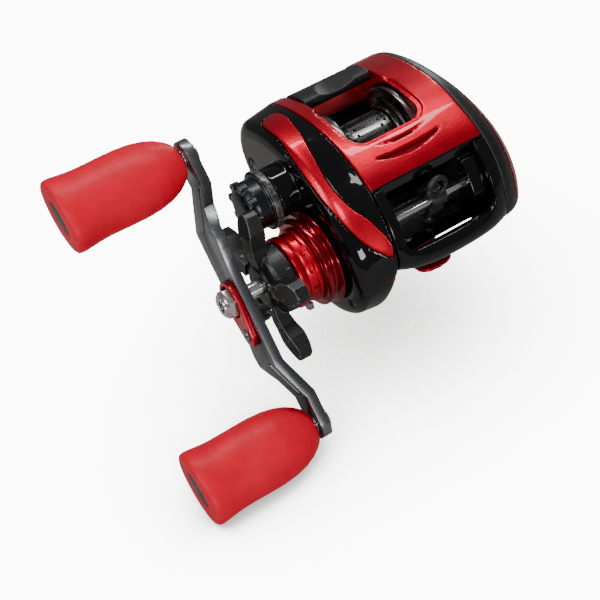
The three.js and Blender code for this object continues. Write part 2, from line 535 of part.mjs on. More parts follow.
// ---------------------------------------------------------------- main shaft, gear train and drag stack
const MAIN_RADIUS = 2.6;
function makeMainShaft() {
  const profile = [[-64.6, 0], [-64.6, MAIN_RADIUS - 0.8], [-61.4, MAIN_RADIUS - 0.8], [-61.2, MAIN_RADIUS],
    [-12.4, MAIN_RADIUS], [-12.4, 0]];
  return turned(profile, 24);
}
piece('main_shaft', makeMainShaft(), STEEL, onShaft);
const SHAFT_BORE = MAIN_RADIUS + GAP;
const driveGear = gear(DRIVE_TEETH, -23.6, -19.8, SHAFT_BORE, 0.16, 0.8)
  .subtract(disc(-30, -21.4, 15, 0, 24));
const drive = piece('drive_gear', driveGear, BRASS, onShaft);
drive.rotation.x = SHAFT_DIRECTION + Math.PI;
piece('drag_washer_inner', disc(-22.3, -21.7, 14.5, SHAFT_BORE, 18), CARBON, onShaft);
piece('drag_washer_keyed', disc(-23.2, -22.6, 14.2, SHAFT_BORE, 18), STEEL, onShaft);
piece('drag_washer_outer', disc(-24.1, -23.5, 14.5, SHAFT_BORE, 18), CARBON, onShaft);
piece('drag_pressure_plate', disc(-25.3, -24.4, 13, SHAFT_BORE, 18), STEEL, onShaft);
function makeRatchet() {
  let wheel = disc(-19.4, -18.2, 9, SHAFT_BORE, 18);
  for (let i = 0; i < 9; i += 1) {
    const turn = 2 * Math.PI * i / 9;
    const notch = polygon([[7.4, -1.2], [10, -1.2], [10, 1.6], [9, 1.6]]);
    wheel = wheel.subtract(prism(notch, -30, 0).rotate([THREE.MathUtils.radToDeg(turn), 0, 0]));
  }
  return wheel;
}
piece('ratchet_wheel', makeRatchet(), STEEL, onShaft);
piece('level_wind_drive_gear', gear(WIND_TEETH, -17.8, -15.6, SHAFT_BORE, 0.16, 0.8), PALE, onShaft)
  .rotation.x = WORM_DIRECTION;
piece('roller_clutch', disc(-35.6, -29, 9, 5.2, 18), STEEL, onShaft);
piece('clutch_sleeve', disc(-37.4, -28.4, 4.9, SHAFT_BORE, 14), STEEL, onShaft);

// ---------------------------------------------------------------- collars on the cover
function makeBaseFlange() {
  return turned([[-36.4, 9.4], [-36.4, 13.6], [-35.8, 14.6], [-34.4, 14.6], [-33.6, 13.2], [-32.6, 13.2],
    [-32, 15.6], [-31.3, 15.6], [-31.3, 9.4], [-36.4, 9.4]], 22);
}
piece('base_flange', makeBaseFlange(), RED, onShaft);
function makeSteppedCollar() {
  return turned([[-41, 8.2], [-41, 11], [-40, 11.4], [-38.4, 11.4], [-38, 12.2], [-36.7, 12.2], [-36.7, 6.2],
    [-37.7, 6.2], [-37.7, 8.2], [-41, 8.2]], 22);
}
piece('stepped_collar', makeSteppedCollar(), RED, onShaft);
function makeClickLug() {
  const lug = polygon([[11.8, -2.2], [14.2, -1.2], [14.2, 1.2], [11.8, 2.2]]);
  return prism(lug, -40.6, -38.8).rotate([-118, 0, 0]);
}
piece('click_lug', makeClickLug(), STEEL, onShaft);

// ---------------------------------------------------------------- star drag
piece('star_flange', disc(-43.6, -41.4, 11.8, 6.4, 22), RED, onShaft);
piece('spring_washer', turned([[-42.8, 3.2], [-41.8, 5.8], [-41.2, 5.8], [-42.2, 3.2], [-42.8, 3.2]], 14),
  STEEL, onShaft);
function makeStar() {
  let star = turned([[-52.6, SHAFT_BORE], [-52.6, 6.2], [-51.6, 7.4], [-50.6, 10.2], [-49.6, 11], [-44.6, 11.4],
    [-43.9, 10.6], [-43.9, SHAFT_BORE], [-52.6, SHAFT_BORE]], 20);
  const arm = new THREE.Shape();
  arm.moveTo(8, -2.8);
  arm.lineTo(14, -2.5);
  arm.lineTo(18.5, -4.2);
  arm.quadraticCurveTo(STAR_RADIUS, -3.8, STAR_RADIUS, 0.4);
  arm.quadraticCurveTo(STAR_RADIUS - 0.6, 2.8, 20, 3.6);
  arm.lineTo(14, 2.5);
  arm.lineTo(8, 2.8);
  const side = polygon([[7, -52.6], [12, -53.2], [18, -53.2], [27, -51.8], [27, -48], [18, -47.6], [12, -48.6],
    [7, -49.6]]);
  const blade = prism(arm, -60, -30, ALONG_X, 4).intersect(prism(side, -10, 10, SEEN_FROM_ABOVE));
  for (let i = 0; i < STAR_ARMS; i += 1) star = star.add(blade.rotate([-135 + 72 * i, 0, 0]));
  return star;
}
piece('star_drag', makeStar(), GUNMETAL, onShaft);

// ---------------------------------------------------------------- handle
const handle = new THREE.Group();
handle.position.set(0, SHAFT_Y, SHAFT_Z);
handle.rotation.x = HANDLE_ANGLE;
reel.add(handle);
const HUB_FACE = -61.2;                // outer face of the arm at the hub
const ARM_FACE = -56.4;                // outer face of the arm at the knobs
const ARM_THICK = 3.2;
const WING = 9.8;                      // the arm's widest reach to one side
const ARM_BEND = [24, 36];
const bothEnds = (points) => [...points.map(([y, x]) => [-y, x]).reverse(), ...points];
function makeHandleArm() {
  const outerEdge = bothEnds([[ARM_BEND[0] - 1, HUB_FACE], [ARM_BEND[1], ARM_FACE], [60, ARM_FACE]]);
  const innerEdge = bothEnds([[ARM_BEND[0] - 2, HUB_FACE + ARM_THICK],
    [ARM_BEND[1] - 1, ARM_FACE + ARM_THICK], [60, ARM_FACE + ARM_THICK]]);
  const side = polygon([...outerEdge, ...innerEdge.reverse()]);
  const face = new THREE.Shape();
  const tip = 5.4;
  face.absarc(HANDLE_REACH, 0, tip, -Math.PI / 2, Math.PI / 2);
  face.lineTo(29, tip);
  face.quadraticCurveTo(24, WING, 19, WING);
  face.quadraticCurveTo(10, 6.8, 0, 6.8);
  face.bezierCurveTo(-24, 6.6, -30, tip, -HANDLE_REACH, tip);
  face.absarc(-HANDLE_REACH, 0, tip, Math.PI / 2, Math.PI * 1.5);
  face.lineTo(-29, -tip);
  face.quadraticCurveTo(-24, -WING, -19, -WING);
  face.quadraticCurveTo(-10, -6.8, 0, -6.8);
  face.bezierCurveTo(24, -6.6, 30, -tip, HANDLE_REACH, -tip);
  let arm = prism(face, -70, -50, ALONG_X, 6).intersect(prism(side, -10, 10, SEEN_FROM_ABOVE));
  arm = arm.subtract(disc(-70, -50, SHAFT_BORE, 0, 16));
  for (const end of [-1, 1]) {
    arm = arm.subtract(disc(-70, -50, 2.5, 0, 14).translate([0, end * HANDLE_REACH, 0]));
    const slot = roundedBox(22, 35, 1.6, 3.6, 0.9);
    arm = arm.subtract(prism(slot, -70, -50, ALONG_X, 4).scale([1, end, 1]));
  }
  return arm.subtract(disc(-70, -50, 1.1, 0, 8).translate([0, -11.4, 0]));
}
piece('handle_arm', makeHandleArm(), GUNMETAL, handle);

function makeRetainerPlate() {
  const outline = new THREE.Shape();
  outline.absarc(0, 0, 6.6, -Math.PI / 2, Math.PI / 2);
  outline.absarc(-11.4, 0, 4, Math.PI / 2, Math.PI * 1.5);
  return prism(outline, HUB_FACE - GAP - 1.5, HUB_FACE - GAP, ALONG_X, 12)
    .subtract(disc(-70, -50, 5.4, 0, 20))
    .subtract(disc(-70, -50, 1.5, 0, 10).translate([0, -11.4, 0]));
}
piece('retainer_plate', makeRetainerPlate(), RED, handle);
function makeNut() {
  const nut = disc(-66, HUB_FACE - GAP, 5.1, MAIN_RADIUS + 0.2, 6);
  const crown = turned([[-66.6, 0], [-66.6, 3.2], [-64.6, 5.2], [-60, 5.2], [-60, 0]], 18);
  return nut.intersect(crown).add(disc(-66.4, -65.6, 3.4, MAIN_RADIUS - 0.6, 12));
}
piece('handle_nut', makeNut(), STEEL, handle);
const screwProfile = [[-63.6, 0], [-63.6, 1.8], [-63.3, 2.1], [-63.2, 2.1], [-63.2, 0.8], [-58.8, 0.8],
  [-58.8, 0]];
const screw = turned(screwProfile, 10);
piece('retainer_screw', screw.subtract(block([-64, -0.25, -3], [-63.4, 0.25, 3])).translate([0, -11.4, 0]),
  STEEL, handle);

// ---------------------------------------------------------------- knobs
const KNOB_START = ARM_FACE - 0.8;
const KNOB_SHAFT = 2.1;
const KNOB_FLATTEN = 0.7;              // thickness of the grip over its width
function makeKnob() {
  const bore = KNOB_SHAFT + GAP;
  // radius along the grip: blunt inner end, belly, slight waist, flare
  const stations = [[0, 4.2], [0.02, 5.8], [0.06, 7.4], [0.12, 9], [0.2, 10.3], [0.3, 11.2], [0.42, 11.6],
    [0.65, 11.5], [0.82, 11.7], [0.95, 12.3], [0.985, 12.1], [1, 11.2]];
  const profile = stations.map(([t, r]) => [KNOB_START - t * KNOB_LENGTH, r]);
  const closed = [[KNOB_START, bore], ...profile, [KNOB_START - KNOB_LENGTH, bore], [KNOB_START, bore]];
  const round = turned(closed, 20);
  const grip = round.scale([1, 1, KNOB_FLATTEN]);
  const hollow = disc(-110, KNOB_START + 1, bore, 0, 14);
  const seat = solid(new THREE.CylinderGeometry(1, 1, 2, 28).applyMatrix4(SEEN_FROM_ABOVE))
    .scale([1, 5.9, 3.1]).translate([KNOB_START - KNOB_LENGTH, 0, 0]);
  const filled = grip.add(disc(KNOB_START - KNOB_LENGTH, KNOB_START, bore + 1.2, bore - 0.4, 14));
  return filled.subtract(hollow).subtract(seat);
}
function makeKnobCap() {
  return solid(new THREE.CylinderGeometry(1, 1, 1, 28).applyMatrix4(SEEN_FROM_ABOVE)).scale([0.7, 5.6, 2.8])
    .translate([KNOB_START - KNOB_LENGTH + 0.35, 0, 0]);
}
const knobShaft = turned([[KNOB_START - KNOB_LENGTH + 3, 0], [KNOB_START - KNOB_LENGTH + 3, KNOB_SHAFT],
  [ARM_FACE + ARM_THICK + 1.2, KNOB_SHAFT], [ARM_FACE + ARM_THICK + 1.2, 0]], 14)
  .add(disc(ARM_FACE + ARM_THICK + GAP, ARM_FACE + ARM_THICK + 1.2, 3.2, 0, 14))
  .add(disc(ARM_FACE - 0.5, ARM_FACE - GAP, 3.2, 0, 14));
for (const [number, end] of [[1, 1], [2, -1]]) {
  const seatOfKnob = new THREE.Group();
  seatOfKnob.position.y = end * HANDLE_REACH;
  seatOfKnob.rotation.x = THREE.MathUtils.degToRad(-18);
  handle.add(seatOfKnob);
  piece(`knob_${number}`, makeKnob(), GRIP_RED, seatOfKnob);
  piece(`knob_cap_${number}`, makeKnobCap(), GUNMETAL, seatOfKnob);
  piece(`knob_shaft_${number}`, knobShaft, STEEL, seatOfKnob);
}

// ---------------------------------------------------------------- cast control
function makeCastRing() {
  return turned([[-39.6, 9.4], [-39.6, 9.8], [-37.5, 9.8], [-37.1, 9.2], [-37.1, 5.8], [-37.9, 5.8],
    [-37.9, 9.4], [-39.6, 9.4]], 20);
}
piece('cast_control_ring', makeCastRing(), SATIN_BLACK, onSpoolAxis);
function makeCastCap() {
  let cap = turned([[-47.2, 0], [-47.2, 3.4], [-46.6, 5.8], [-45.2, 7.6], [-43.6, 8.2], [-40.2, 8.2],
    [-39.9, 9], [-38.2, 9], [-38.2, 5.2], [-43.4, 5.2], [-43.4, 0]], 20);
  for (let i = 0; i < 8; i += 1) {
    const fin = polygon([[0, -2.4], [8.4, -1.2], [8.9, 0], [8.4, 1.2], [0, 2.4]]);
    cap = cap.add(prism(fin, -46.2, -43.6).rotate([45 * i, 0, 0]));
  }
  return cap;
}
piece('cast_control_cap', makeCastCap(), GUNMETAL, onSpoolAxis);

// ---------------------------------------------------------------- level wind
const WORM_RADIUS = 2;
piece('worm_shaft', disc(-15.2, 18, WORM_RADIUS, 0, 12).add(disc(-18, -15, 1.2, 0, 10)), STEEL, onWorm);
piece('worm_gear', gear(WORM_TEETH, -17.8, -15.6, 1.5, 0.16, 0.8), PALE, onWorm)
  .rotation.x = WORM_DIRECTION + Math.PI + Math.PI / WORM_TEETH;
const guardTube = disc(-CHAMBER + GAP, CHAMBER + 1, 3.1, WORM_RADIUS + GAP, 16)
  .subtract(block([-11.5, -1.3, -5], [12.4, 1.3, 0]));
piece('worm_guard', guardTube, STEEL, onWorm);
piece('guide_rod', at(disc(-15.2, 17, 1.05, 0, 8), ROD_Y, ROD_Z), STEEL);
function makeLineGuide() {
  const halfWidth = 2.6;
  const hub = lobe(4.6, WORM_Y, WORM_Z);
  let carriage = prism(hub, -halfWidth, halfWidth, ALONG_X, 24)
    .add(prism(lobe(2.4, ROD_Y, ROD_Z), -halfWidth, halfWidth, ALONG_X, 20))
    .add(prism(polygon([[-29, 26.6], [-33.6, 25.4], [-31, 20.4], [-24, 18]]), -halfWidth, halfWidth));
  carriage = carriage.subtract(at(disc(-10, 10, 3.4, 0, 16), WORM_Y, WORM_Z));
  carriage = carriage.subtract(at(disc(-10, 10, 1.05 + GAP, 0, 10), ROD_Y, ROD_Z));
  const eye = new THREE.TorusGeometry(3, 0.95, 6, 16).applyMatrix4(ALONG_Y);
  carriage = carriage.add(solid(eye).translate([0, -32.4, 28.2]));
  const pawlHole = new THREE.CylinderGeometry(1.2, 1.2, 6, 12).applyMatrix4(ALONG_Y);
  carriage = carriage.subtract(solid(pawlHole).translate([0, WORM_Y, WORM_Z - 5]));
  return carriage.translate([GUIDE_AT, 0, 0]);
}
piece('line_guide', makeLineGuide(), SATIN_BLACK);
const upright = (radius, z0, z1) => {
  const post = new THREE.CylinderGeometry(radius, radius, z1 - z0, 12).applyMatrix4(ALONG_Y);
  return solid(post).translate([GUIDE_AT, WORM_Y, (z0 + z1) / 2]);
};
piece('level_wind_pawl', upright(0.9, WORM_Z - 5.6, WORM_Z - WORM_RADIUS - GAP), BRASS);
piece('pawl_cap', upright(2.2, WORM_Z - 7.1, WORM_Z - 5.9), STEEL);

export default reel;
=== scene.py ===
# %% [markdown]
# # A low-profile baitcasting reel
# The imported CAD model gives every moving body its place. This lesson dresses that frame: it carries the
# hidden machine parts over as they are, rebuilds the pieces the eye rests on with finer shapes, and gives
# each one a finish made of nodes. Every length is a metre and every axis is the reel's own: +X leaves the
# palm side, +Y points to the angler, and +Z stands up from the foot.

# %% Load the frame
import json
import math

import bmesh
import bpy
from mathutils import Matrix, Vector


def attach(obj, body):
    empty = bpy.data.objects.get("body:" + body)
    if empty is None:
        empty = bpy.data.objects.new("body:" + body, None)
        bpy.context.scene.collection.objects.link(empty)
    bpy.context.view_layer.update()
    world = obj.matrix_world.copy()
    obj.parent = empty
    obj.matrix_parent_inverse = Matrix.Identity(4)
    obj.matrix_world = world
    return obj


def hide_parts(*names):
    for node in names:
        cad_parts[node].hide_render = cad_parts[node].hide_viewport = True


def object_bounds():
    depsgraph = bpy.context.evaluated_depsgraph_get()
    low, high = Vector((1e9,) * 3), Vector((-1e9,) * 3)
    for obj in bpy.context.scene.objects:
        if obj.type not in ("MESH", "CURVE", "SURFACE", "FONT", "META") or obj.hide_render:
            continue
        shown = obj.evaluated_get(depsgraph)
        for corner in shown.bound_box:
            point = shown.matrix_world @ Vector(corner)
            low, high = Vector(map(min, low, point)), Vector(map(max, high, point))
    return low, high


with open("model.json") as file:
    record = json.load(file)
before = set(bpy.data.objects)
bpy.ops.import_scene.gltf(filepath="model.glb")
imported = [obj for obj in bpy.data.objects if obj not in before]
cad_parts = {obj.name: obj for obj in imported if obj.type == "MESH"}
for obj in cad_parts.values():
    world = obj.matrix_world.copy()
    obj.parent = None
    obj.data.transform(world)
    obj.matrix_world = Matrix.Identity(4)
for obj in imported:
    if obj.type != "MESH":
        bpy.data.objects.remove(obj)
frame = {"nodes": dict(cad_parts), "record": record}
CAD_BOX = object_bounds()
MM = 0.001
print("CAD box in mm:", [[round(c / MM, 1) for c in corner] for corner in CAD_BOX])

# %% [markdown]
# The camera stands to the front and handle side of the reel and looks down on it, a little rolled, as
# someone would hold a phone over a table. A long lens keeps the perspective gentle. Location, angles and
# lens are all it needs.

# %% Camera
camera_data = bpy.data.cameras.new("camera")
camera_data.lens = 80.28
camera_data.sensor_width = 36
camera_data.clip_start = 0.01
camera = bpy.data.objects.new("camera", camera_data)
camera.location = (-0.1795, -0.28786, 0.28456)
camera.rotation_euler = [math.radians(a) for a in (46.2605, 6.5712, -33.438)]
bpy.context.scene.collection.objects.link(camera)
bpy.context.scene.camera = camera
print("camera at", [round(c, 3) for c in camera.location])

# %% [markdown]
# A studio for gloss needs two things: wide soft sources whose shapes can be read in the lacquer, and a
# quiet surround so that black stays black. Area lamps give the first. A dim pale world gives the second,
# with a large floor that fills the view and catches a soft shadow.

# %% Studio light
def soft_lamp(name, place, aim, size, power, warmth=1.0):
    """An area lamp that stands at place and points at aim."""
    data = bpy.data.lights.new(name, "AREA")
    data.shape = "RECTANGLE"
    data.size, data.size_y = size
    data.energy = power
    data.color = (1, 0.5 + 0.5 * warmth, warmth)
    lamp = bpy.data.objects.new(name, data)
    lamp.location = place
    lamp.rotation_euler = (Vector(aim) - Vector(place)).to_track_quat("-Z", "Y").to_euler()
    bpy.context.scene.collection.objects.link(lamp)
    return lamp


world = bpy.data.worlds.new("studio")
world.use_nodes = True
world.node_tree.nodes["Background"].inputs["Color"].default_value = (1, 0.99, 0.98, 1)
world.node_tree.nodes["Background"].inputs["Strength"].default_value = 0.15
bpy.context.scene.world = world
REEL_MIDDLE = (-0.02, 0, 0.01)
LAMPS = [soft_lamp("overhead_strip", (0.12, 0.22, 0.7), REEL_MIDDLE, (0.6, 0.06), 2.6, 0.98),
         soft_lamp("handle_side_strip", (-0.62, -0.02, 0.42), REEL_MIDDLE, (0.08, 0.5), 1.5, 0.97),
         soft_lamp("front_strip", (-0.22, -0.72, 0.2), REEL_MIDDLE, (0.34, 0.1), 1.7, 1.0),
         soft_lamp("back_strip", (0.5, 0.45, 0.3), REEL_MIDDLE, (0.07, 0.6), 1.2, 1.0),
         soft_lamp("camera_side_fill", (-0.35, -0.45, 0.75), REEL_MIDDLE, (0.2, 0.3), 1.8, 0.99)]
print("lamps:", [lamp.name for lamp in LAMPS])

# %% [markdown]
# ## Finishes
# Each finish is a Principled shader whose colour, roughness and surface ripple are steered by noise, at
# the size the real surface shows. `finish` wires the parts that all of them share. Anything that is the
# same all over, such as the clear coat, stays a plain number on the shader's own socket.

# %% Shared wiring for a finish
class Finish:
    """One material, with short helpers to add nodes to it."""

    def __init__(self, name, colour, roughness, metallic=0.0, **sockets):
        self.material = bpy.data.materials.new(name)
        self.material.use_nodes = True
        self.tree = self.material.node_tree
        self.shader = self.tree.nodes["Principled BSDF"]
        self.shader.inputs["Base Color"].default_value = (*colour, 1)
        self.shader.inputs["Roughness"].default_value = roughness
        self.shader.inputs["Metallic"].default_value = metallic
        for socket, value in sockets.items():
            self.shader.inputs[socket.replace("_", " ")].default_value = value
        self.place = self.tree.nodes.new("ShaderNodeTexCoord").outputs["Object"]

    def node(self, kind, inputs=None, **settings):
        made = self.tree.nodes.new(kind)
        for key, value in settings.items():
            setattr(made, key, value)
        for key, value in (inputs or {}).items():
            if isinstance(value, bpy.types.NodeSocket):
                self.tree.links.new(value, made.inputs[key])
            else:
                made.inputs[key].default_value = value
        return made

    def noise(self, grain_mm, detail=3.0, stretch=(1, 1, 1), roughness=0.55):
        """Noise whose grain is about grain_mm across."""
        scale = tuple(s / (grain_mm * MM) for s in stretch)
        moved = self.node("ShaderNodeMapping", {"Vector": self.place, "Scale": scale})
        return self.node("ShaderNodeTexNoise", {"Vector": moved.outputs["Vector"], "Scale": 1.0,
                                                "Detail": detail, "Roughness": roughness}).outputs["Fac"]

    def ramp(self, source, low, high):
        """The source, stretched to run from low to high."""
        mapped = self.node("ShaderNodeMapRange", {"Value": source, "From Min": 0.3, "From Max": 0.7,
                                                  "To Min": low, "To Max": high})
        return mapped.outputs["Result"]

    def blend(self, share, dark, light):
        mix = self.node("ShaderNodeMix", data_type="RGBA")
        self.tree.links.new(share, mix.inputs["Factor"])
        for socket, value in ((6, dark), (7, light)):
            if isinstance(value, bpy.types.NodeSocket):
                self.tree.links.new(value, mix.inputs[socket])
            else:
                mix.inputs[socket].default_value = (*value, 1)
        return mix.outputs[2]

    def to(self, socket, source):
        self.tree.links.new(source, self.shader.inputs[socket])

    def ripple(self, source, depth_mm, strength=1.0):
        inputs = {"Height": source, "Distance": depth_mm * MM, "Strength": strength}
        bump = self.node("ShaderNodeBump", inputs)
        self.to("Normal", bump.outputs["Normal"])
        return bump

    def edges(self, low, high):
        """A share that rises on sharp outer edges, where a finish wears or a cutter left a bright line."""
        shape = self.node("ShaderNodeNewGeometry").outputs["Pointiness"]
        worn = self.node("ShaderNodeMapRange", {"Value": shape, "From Min": low, "From Max": high})
        return worn.outputs["Result"]


# %% [markdown]
# Anodised red is dyed metal under a clear lacquer. The flakes make the colour flicker at a tenth of a
# millimetre, and the colour pools a shade darker over wide areas. The lacquer is the coat.

# %% Red metal and dark red
def metallic_red(name, deep, bright, roughness, coat):
    red = Finish(name, bright, roughness, 0.85, Coat_Weight=coat, Coat_Roughness=0.04, Coat_IOR=1.4)
    flakes = red.ramp(red.noise(0.12, 2.0), 0, 1)
    pools = red.ramp(red.noise(9, 2.0), 0, 1)
    shade = red.blend(flakes, deep, bright)
    red.to("Base Color", red.blend(pools, shade, bright))
    red.to("Roughness", red.ramp(red.noise(0.3, 4.0), roughness * 0.8, roughness * 1.25))
    red.ripple(red.noise(0.18, 2.0), 0.002, 0.2)
    return red.material


# dark_red is a real colour on its own parts; on the frame it also serves as painted shade in the grooves and
# on the gear-side chamber wall
FINISHES = {"red_metal": metallic_red("red_metal", (0.46, 0.0, 0.014), (0.74, 0.0, 0.026), 0.33, 0.5),
            "dark_red": metallic_red("dark_red", (0.2, 0.0, 0.008), (0.38, 0.0, 0.015), 0.22, 0.7)}

# %% [markdown]
# The hood and the covers are black lacquer over a moulded shell. Under the lacquer the black is nearly
# pure. Only a very slight orange peel, a millimetre or two wide, keeps reflections from looking computed.

# %% Gloss black, satin black
def lacquer_black():
    black = Finish("gloss_black", (0.004, 0.004, 0.005), 0.1, 0.0, Coat_Weight=1.0, Coat_Roughness=0.01,
                   Coat_IOR=1.42, Specular_IOR_Level=0.05)
    pools = black.ramp(black.noise(12), 0, 1)
    black.to("Base Color", black.blend(pools, (0.002, 0.002, 0.003), (0.005, 0.005, 0.006)))
    black.to("Roughness", black.ramp(black.noise(2.5), 0.07, 0.13))
    black.ripple(black.noise(2.2, 1.0), 0.004, 0.25)
    return black.material


def moulded_black():
    satin = Finish("satin_black", (0.02, 0.021, 0.023), 0.42, 0.3)
    worn = satin.edges(0.52, 0.6)
    body = satin.blend(satin.ramp(satin.noise(3), 0, 1), (0.014, 0.015, 0.016), (0.028, 0.029, 0.031))
    satin.to("Base Color", satin.blend(worn, body, (0.09, 0.09, 0.09)))
    satin.to("Roughness", satin.ramp(satin.noise(0.5, 4.0), 0.34, 0.5))
    satin.ripple(satin.noise(0.16, 3.0), 0.01, 0.5)
    return satin.material


FINISHES["gloss_black"] = lacquer_black()
FINISHES["satin_black"] = moulded_black()

# %% [markdown]
# Gunmetal is dark anodised aluminium: fine-grained, with cut edges that shine. The bright parts are
# turned steel and aluminium. Their tool marks are very fine rings, which a noise squeezed along the
# turning axis gives.

# %% Bare and anodised metals
def machined(name, dark, light, edge, rough, grain=(0.25, (1, 1, 1)), edge_from=(0.51, 0.56), metal=0.95):
    metal_finish = Finish(name, light, sum(rough) / 2, metal)
    size, stretch = grain
    marks = metal_finish.noise(size, 4.0, stretch)
    body = metal_finish.blend(metal_finish.ramp(marks, 0, 1), dark, light)
    metal_finish.to("Base Color", metal_finish.blend(metal_finish.edges(*edge_from), body, edge))
    metal_finish.to("Roughness", metal_finish.ramp(metal_finish.noise(size * 1.7, 3.0, stretch), *rough))
    metal_finish.ripple(marks, 0.003, 0.3)
    return metal_finish.material


TURNED_GRAIN = (0.5, (8, 1, 1))
CAST_GRAIN = (0.35, (1, 1, 1))
# each metal: its dark and light shade, its shade on a worn edge, its range of roughness, its grain
METALS = {
    "gunmetal": ((0.03, 0.032, 0.035), (0.062, 0.066, 0.072), (0.32, 0.33, 0.35), (0.24, 0.38)),
    "spool_metal": ((0.02, 0.019, 0.02), (0.05, 0.047, 0.047), (0.3, 0.3, 0.3), (0.16, 0.3), TURNED_GRAIN),
    "bright_steel": ((0.5, 0.5, 0.49), (0.74, 0.74, 0.73), (0.9, 0.9, 0.9), (0.12, 0.26), TURNED_GRAIN),
    "bright_aluminium": ((0.62, 0.62, 0.63), (0.84, 0.84, 0.85), (0.95, 0.95, 0.95), (0.2, 0.34),
                         TURNED_GRAIN),
    "cast_metal": ((0.03, 0.031, 0.031), (0.085, 0.087, 0.086), (0.3, 0.31, 0.31), (0.34, 0.5), CAST_GRAIN),
    "gear_brass": ((0.5, 0.33, 0.11), (0.75, 0.54, 0.22), (0.95, 0.8, 0.5), (0.2, 0.34), TURNED_GRAIN),
}
for metal_name, shades in METALS.items():
    FINISHES[metal_name] = machined(metal_name, *shades)

# %% [markdown]
# Forged carbon is chopped fibre pressed in resin, so it shows flat chips in many greys. A Voronoi pattern
# has just that look. The drag washers are woven carbon: two wave patterns at right angles, checked by
# turns.

# %% Carbon, nylon and the soft grip
def chipped_carbon():
    chips = Finish("forged_carbon", (0.12, 0.12, 0.12), 0.35, 0.35, Coat_Weight=0.3, Coat_Roughness=0.2)
    cells = chips.node("ShaderNodeTexVoronoi", {"Vector": chips.place, "Scale": 1100.0, "Randomness": 1.0})
    grey = chips.node("ShaderNodeSeparateColor", {"Color": cells.outputs["Color"]}).outputs["Red"]
    chips.to("Base Color", chips.blend(grey, (0.02, 0.02, 0.022), (0.17, 0.17, 0.165)))
    chips.to("Roughness", chips.ramp(chips.noise(0.4, 3.0), 0.28, 0.5))
    chips.ripple(grey, 0.03, 0.5)
    return chips.material


def woven_carbon():
    cloth = Finish("carbon_fibre", (0.03, 0.03, 0.032), 0.45, 0.1)
    checks = cloth.node("ShaderNodeTexChecker", {"Vector": cloth.place, "Scale": 900.0}).outputs["Fac"]
    cloth.to("Base Color", cloth.blend(checks, (0.02, 0.02, 0.022), (0.07, 0.07, 0.075)))
    cloth.to("Roughness", cloth.ramp(cloth.noise(0.6, 3.0), 0.4, 0.6))
    cloth.ripple(checks, 0.03, 0.5)
    return cloth.material


def plain_nylon():
    nylon = Finish("pale_nylon", (0.7, 0.69, 0.64), 0.45, 0.0, Subsurface_Weight=0.05)
    clouds = nylon.ramp(nylon.noise(2), 0, 1)
    nylon.to("Base Color", nylon.blend(clouds, (0.64, 0.63, 0.57), (0.76, 0.75, 0.7)))
    nylon.to("Roughness", nylon.ramp(nylon.noise(0.5, 3.0), 0.38, 0.52))
    nylon.ripple(nylon.noise(0.3, 3.0), 0.008, 0.4)
    return nylon.material


def soft_touch_red():
    grip = Finish("grip_red", (0.85, 0.0, 0.028), 0.42, 0.0, Coat_Weight=0.05, Coat_Roughness=0.3,
                  Specular_IOR_Level=0.22)
    body = grip.blend(grip.ramp(grip.noise(8, 3.0), 0, 1), (0.76, 0.0, 0.02), (0.94, 0.0, 0.034))
    grip.to("Base Color", grip.blend(grip.ramp(grip.noise(0.25, 4.0), 0, 0.2), body, (0.98, 0.012, 0.05)))
    grip.to("Roughness", grip.ramp(grip.noise(0.8, 4.0), 0.36, 0.5))
    grip.ripple(grip.noise(0.22, 4.0), 0.012, 0.5)
    return grip.material


FINISHES["forged_carbon"] = chipped_carbon()
FINISHES["carbon_fibre"] = woven_carbon()
FINISHES["pale_nylon"] = plain_nylon()
FINISHES["grip_red"] = soft_touch_red()
print("finishes:", sorted(FINISHES))

# %% [markdown]
# Every CAD node takes the finish of its slot in the record. The ones rebuilt later are hidden by their
# better copies, and the rest, such as the gears and washers inside, keep this.

# %% Dress the CAD nodes
SLOT_OF = {part["node"]: part["material_slot"] for part in frame["record"]["subparts"]}
BODY_OF = {node: body for body, nodes in frame["record"]["behaviour"]["bodies"].items() for node in nodes}
for name, node in frame["nodes"].items():
    node.data.materials.clear()
    node.data.materials.append(FINISHES[SLOT_OF[name]])
print("dressed", len(frame["nodes"]), "CAD nodes")

# %% [markdown]
# ## Ways of making shapes
# Most of a reel comes off a lathe or out of a plate. A lathe piece is a profile spun about the X axis. A
# plate is an outline, filled and extruded. Both are drawn in millimetres and put in their place by one
# matrix.

# %% Lathe, plate and placing
SPOOL_HEIGHT = 26
SPOOL_CENTRE = Vector((0, 0, SPOOL_HEIGHT)) * MM
SHAFT_CENTRE = Vector((0, -15.457, 8.833)) * MM
WORM_CENTRE = Vector((0, -26.827, 19.071)) * MM
ON_SPOOL = Matrix.Translation(SPOOL_CENTRE)
ON_SHAFT = Matrix.Translation(SHAFT_CENTRE)
ON_WORM = Matrix.Translation(WORM_CENTRE)
# these stand a piece drawn along the X axis along another one
ALONG_Y = Matrix.Rotation(math.pi / 2, 4, "Z")
ALONG_Z = Matrix.Rotation(-math.pi / 2, 4, "Y")


def moved(x, y, z):
    """A move by this many millimetres."""
    return Matrix.Translation(Vector((x, y, z)) * MM)


def roll(degrees):
    """A turn about the X axis."""
    return Matrix.Rotation(math.radians(degrees), 4, "X")


def turned(profile, steps=96):
    """A bmesh spun about X from [x, radius] pairs in millimetres."""
    shape = bmesh.new()
    line = [shape.verts.new((x * MM, 0, r * MM)) for x, r in profile]
    edges = [shape.edges.new(pair) for pair in zip(line, line[1:])]
    bmesh.ops.spin(shape, geom=line + edges, cent=(0, 0, 0), axis=(1, 0, 0), dvec=(0, 0, 0),
                   angle=2 * math.pi, steps=steps, use_merge=True, use_duplicate=False)
    bmesh.ops.remove_doubles(shape, verts=shape.verts, dist=1e-7)
    bmesh.ops.dissolve_degenerate(shape, edges=shape.edges, dist=1e-7)
    bmesh.ops.recalc_face_normals(shape, faces=shape.faces)
    return shape


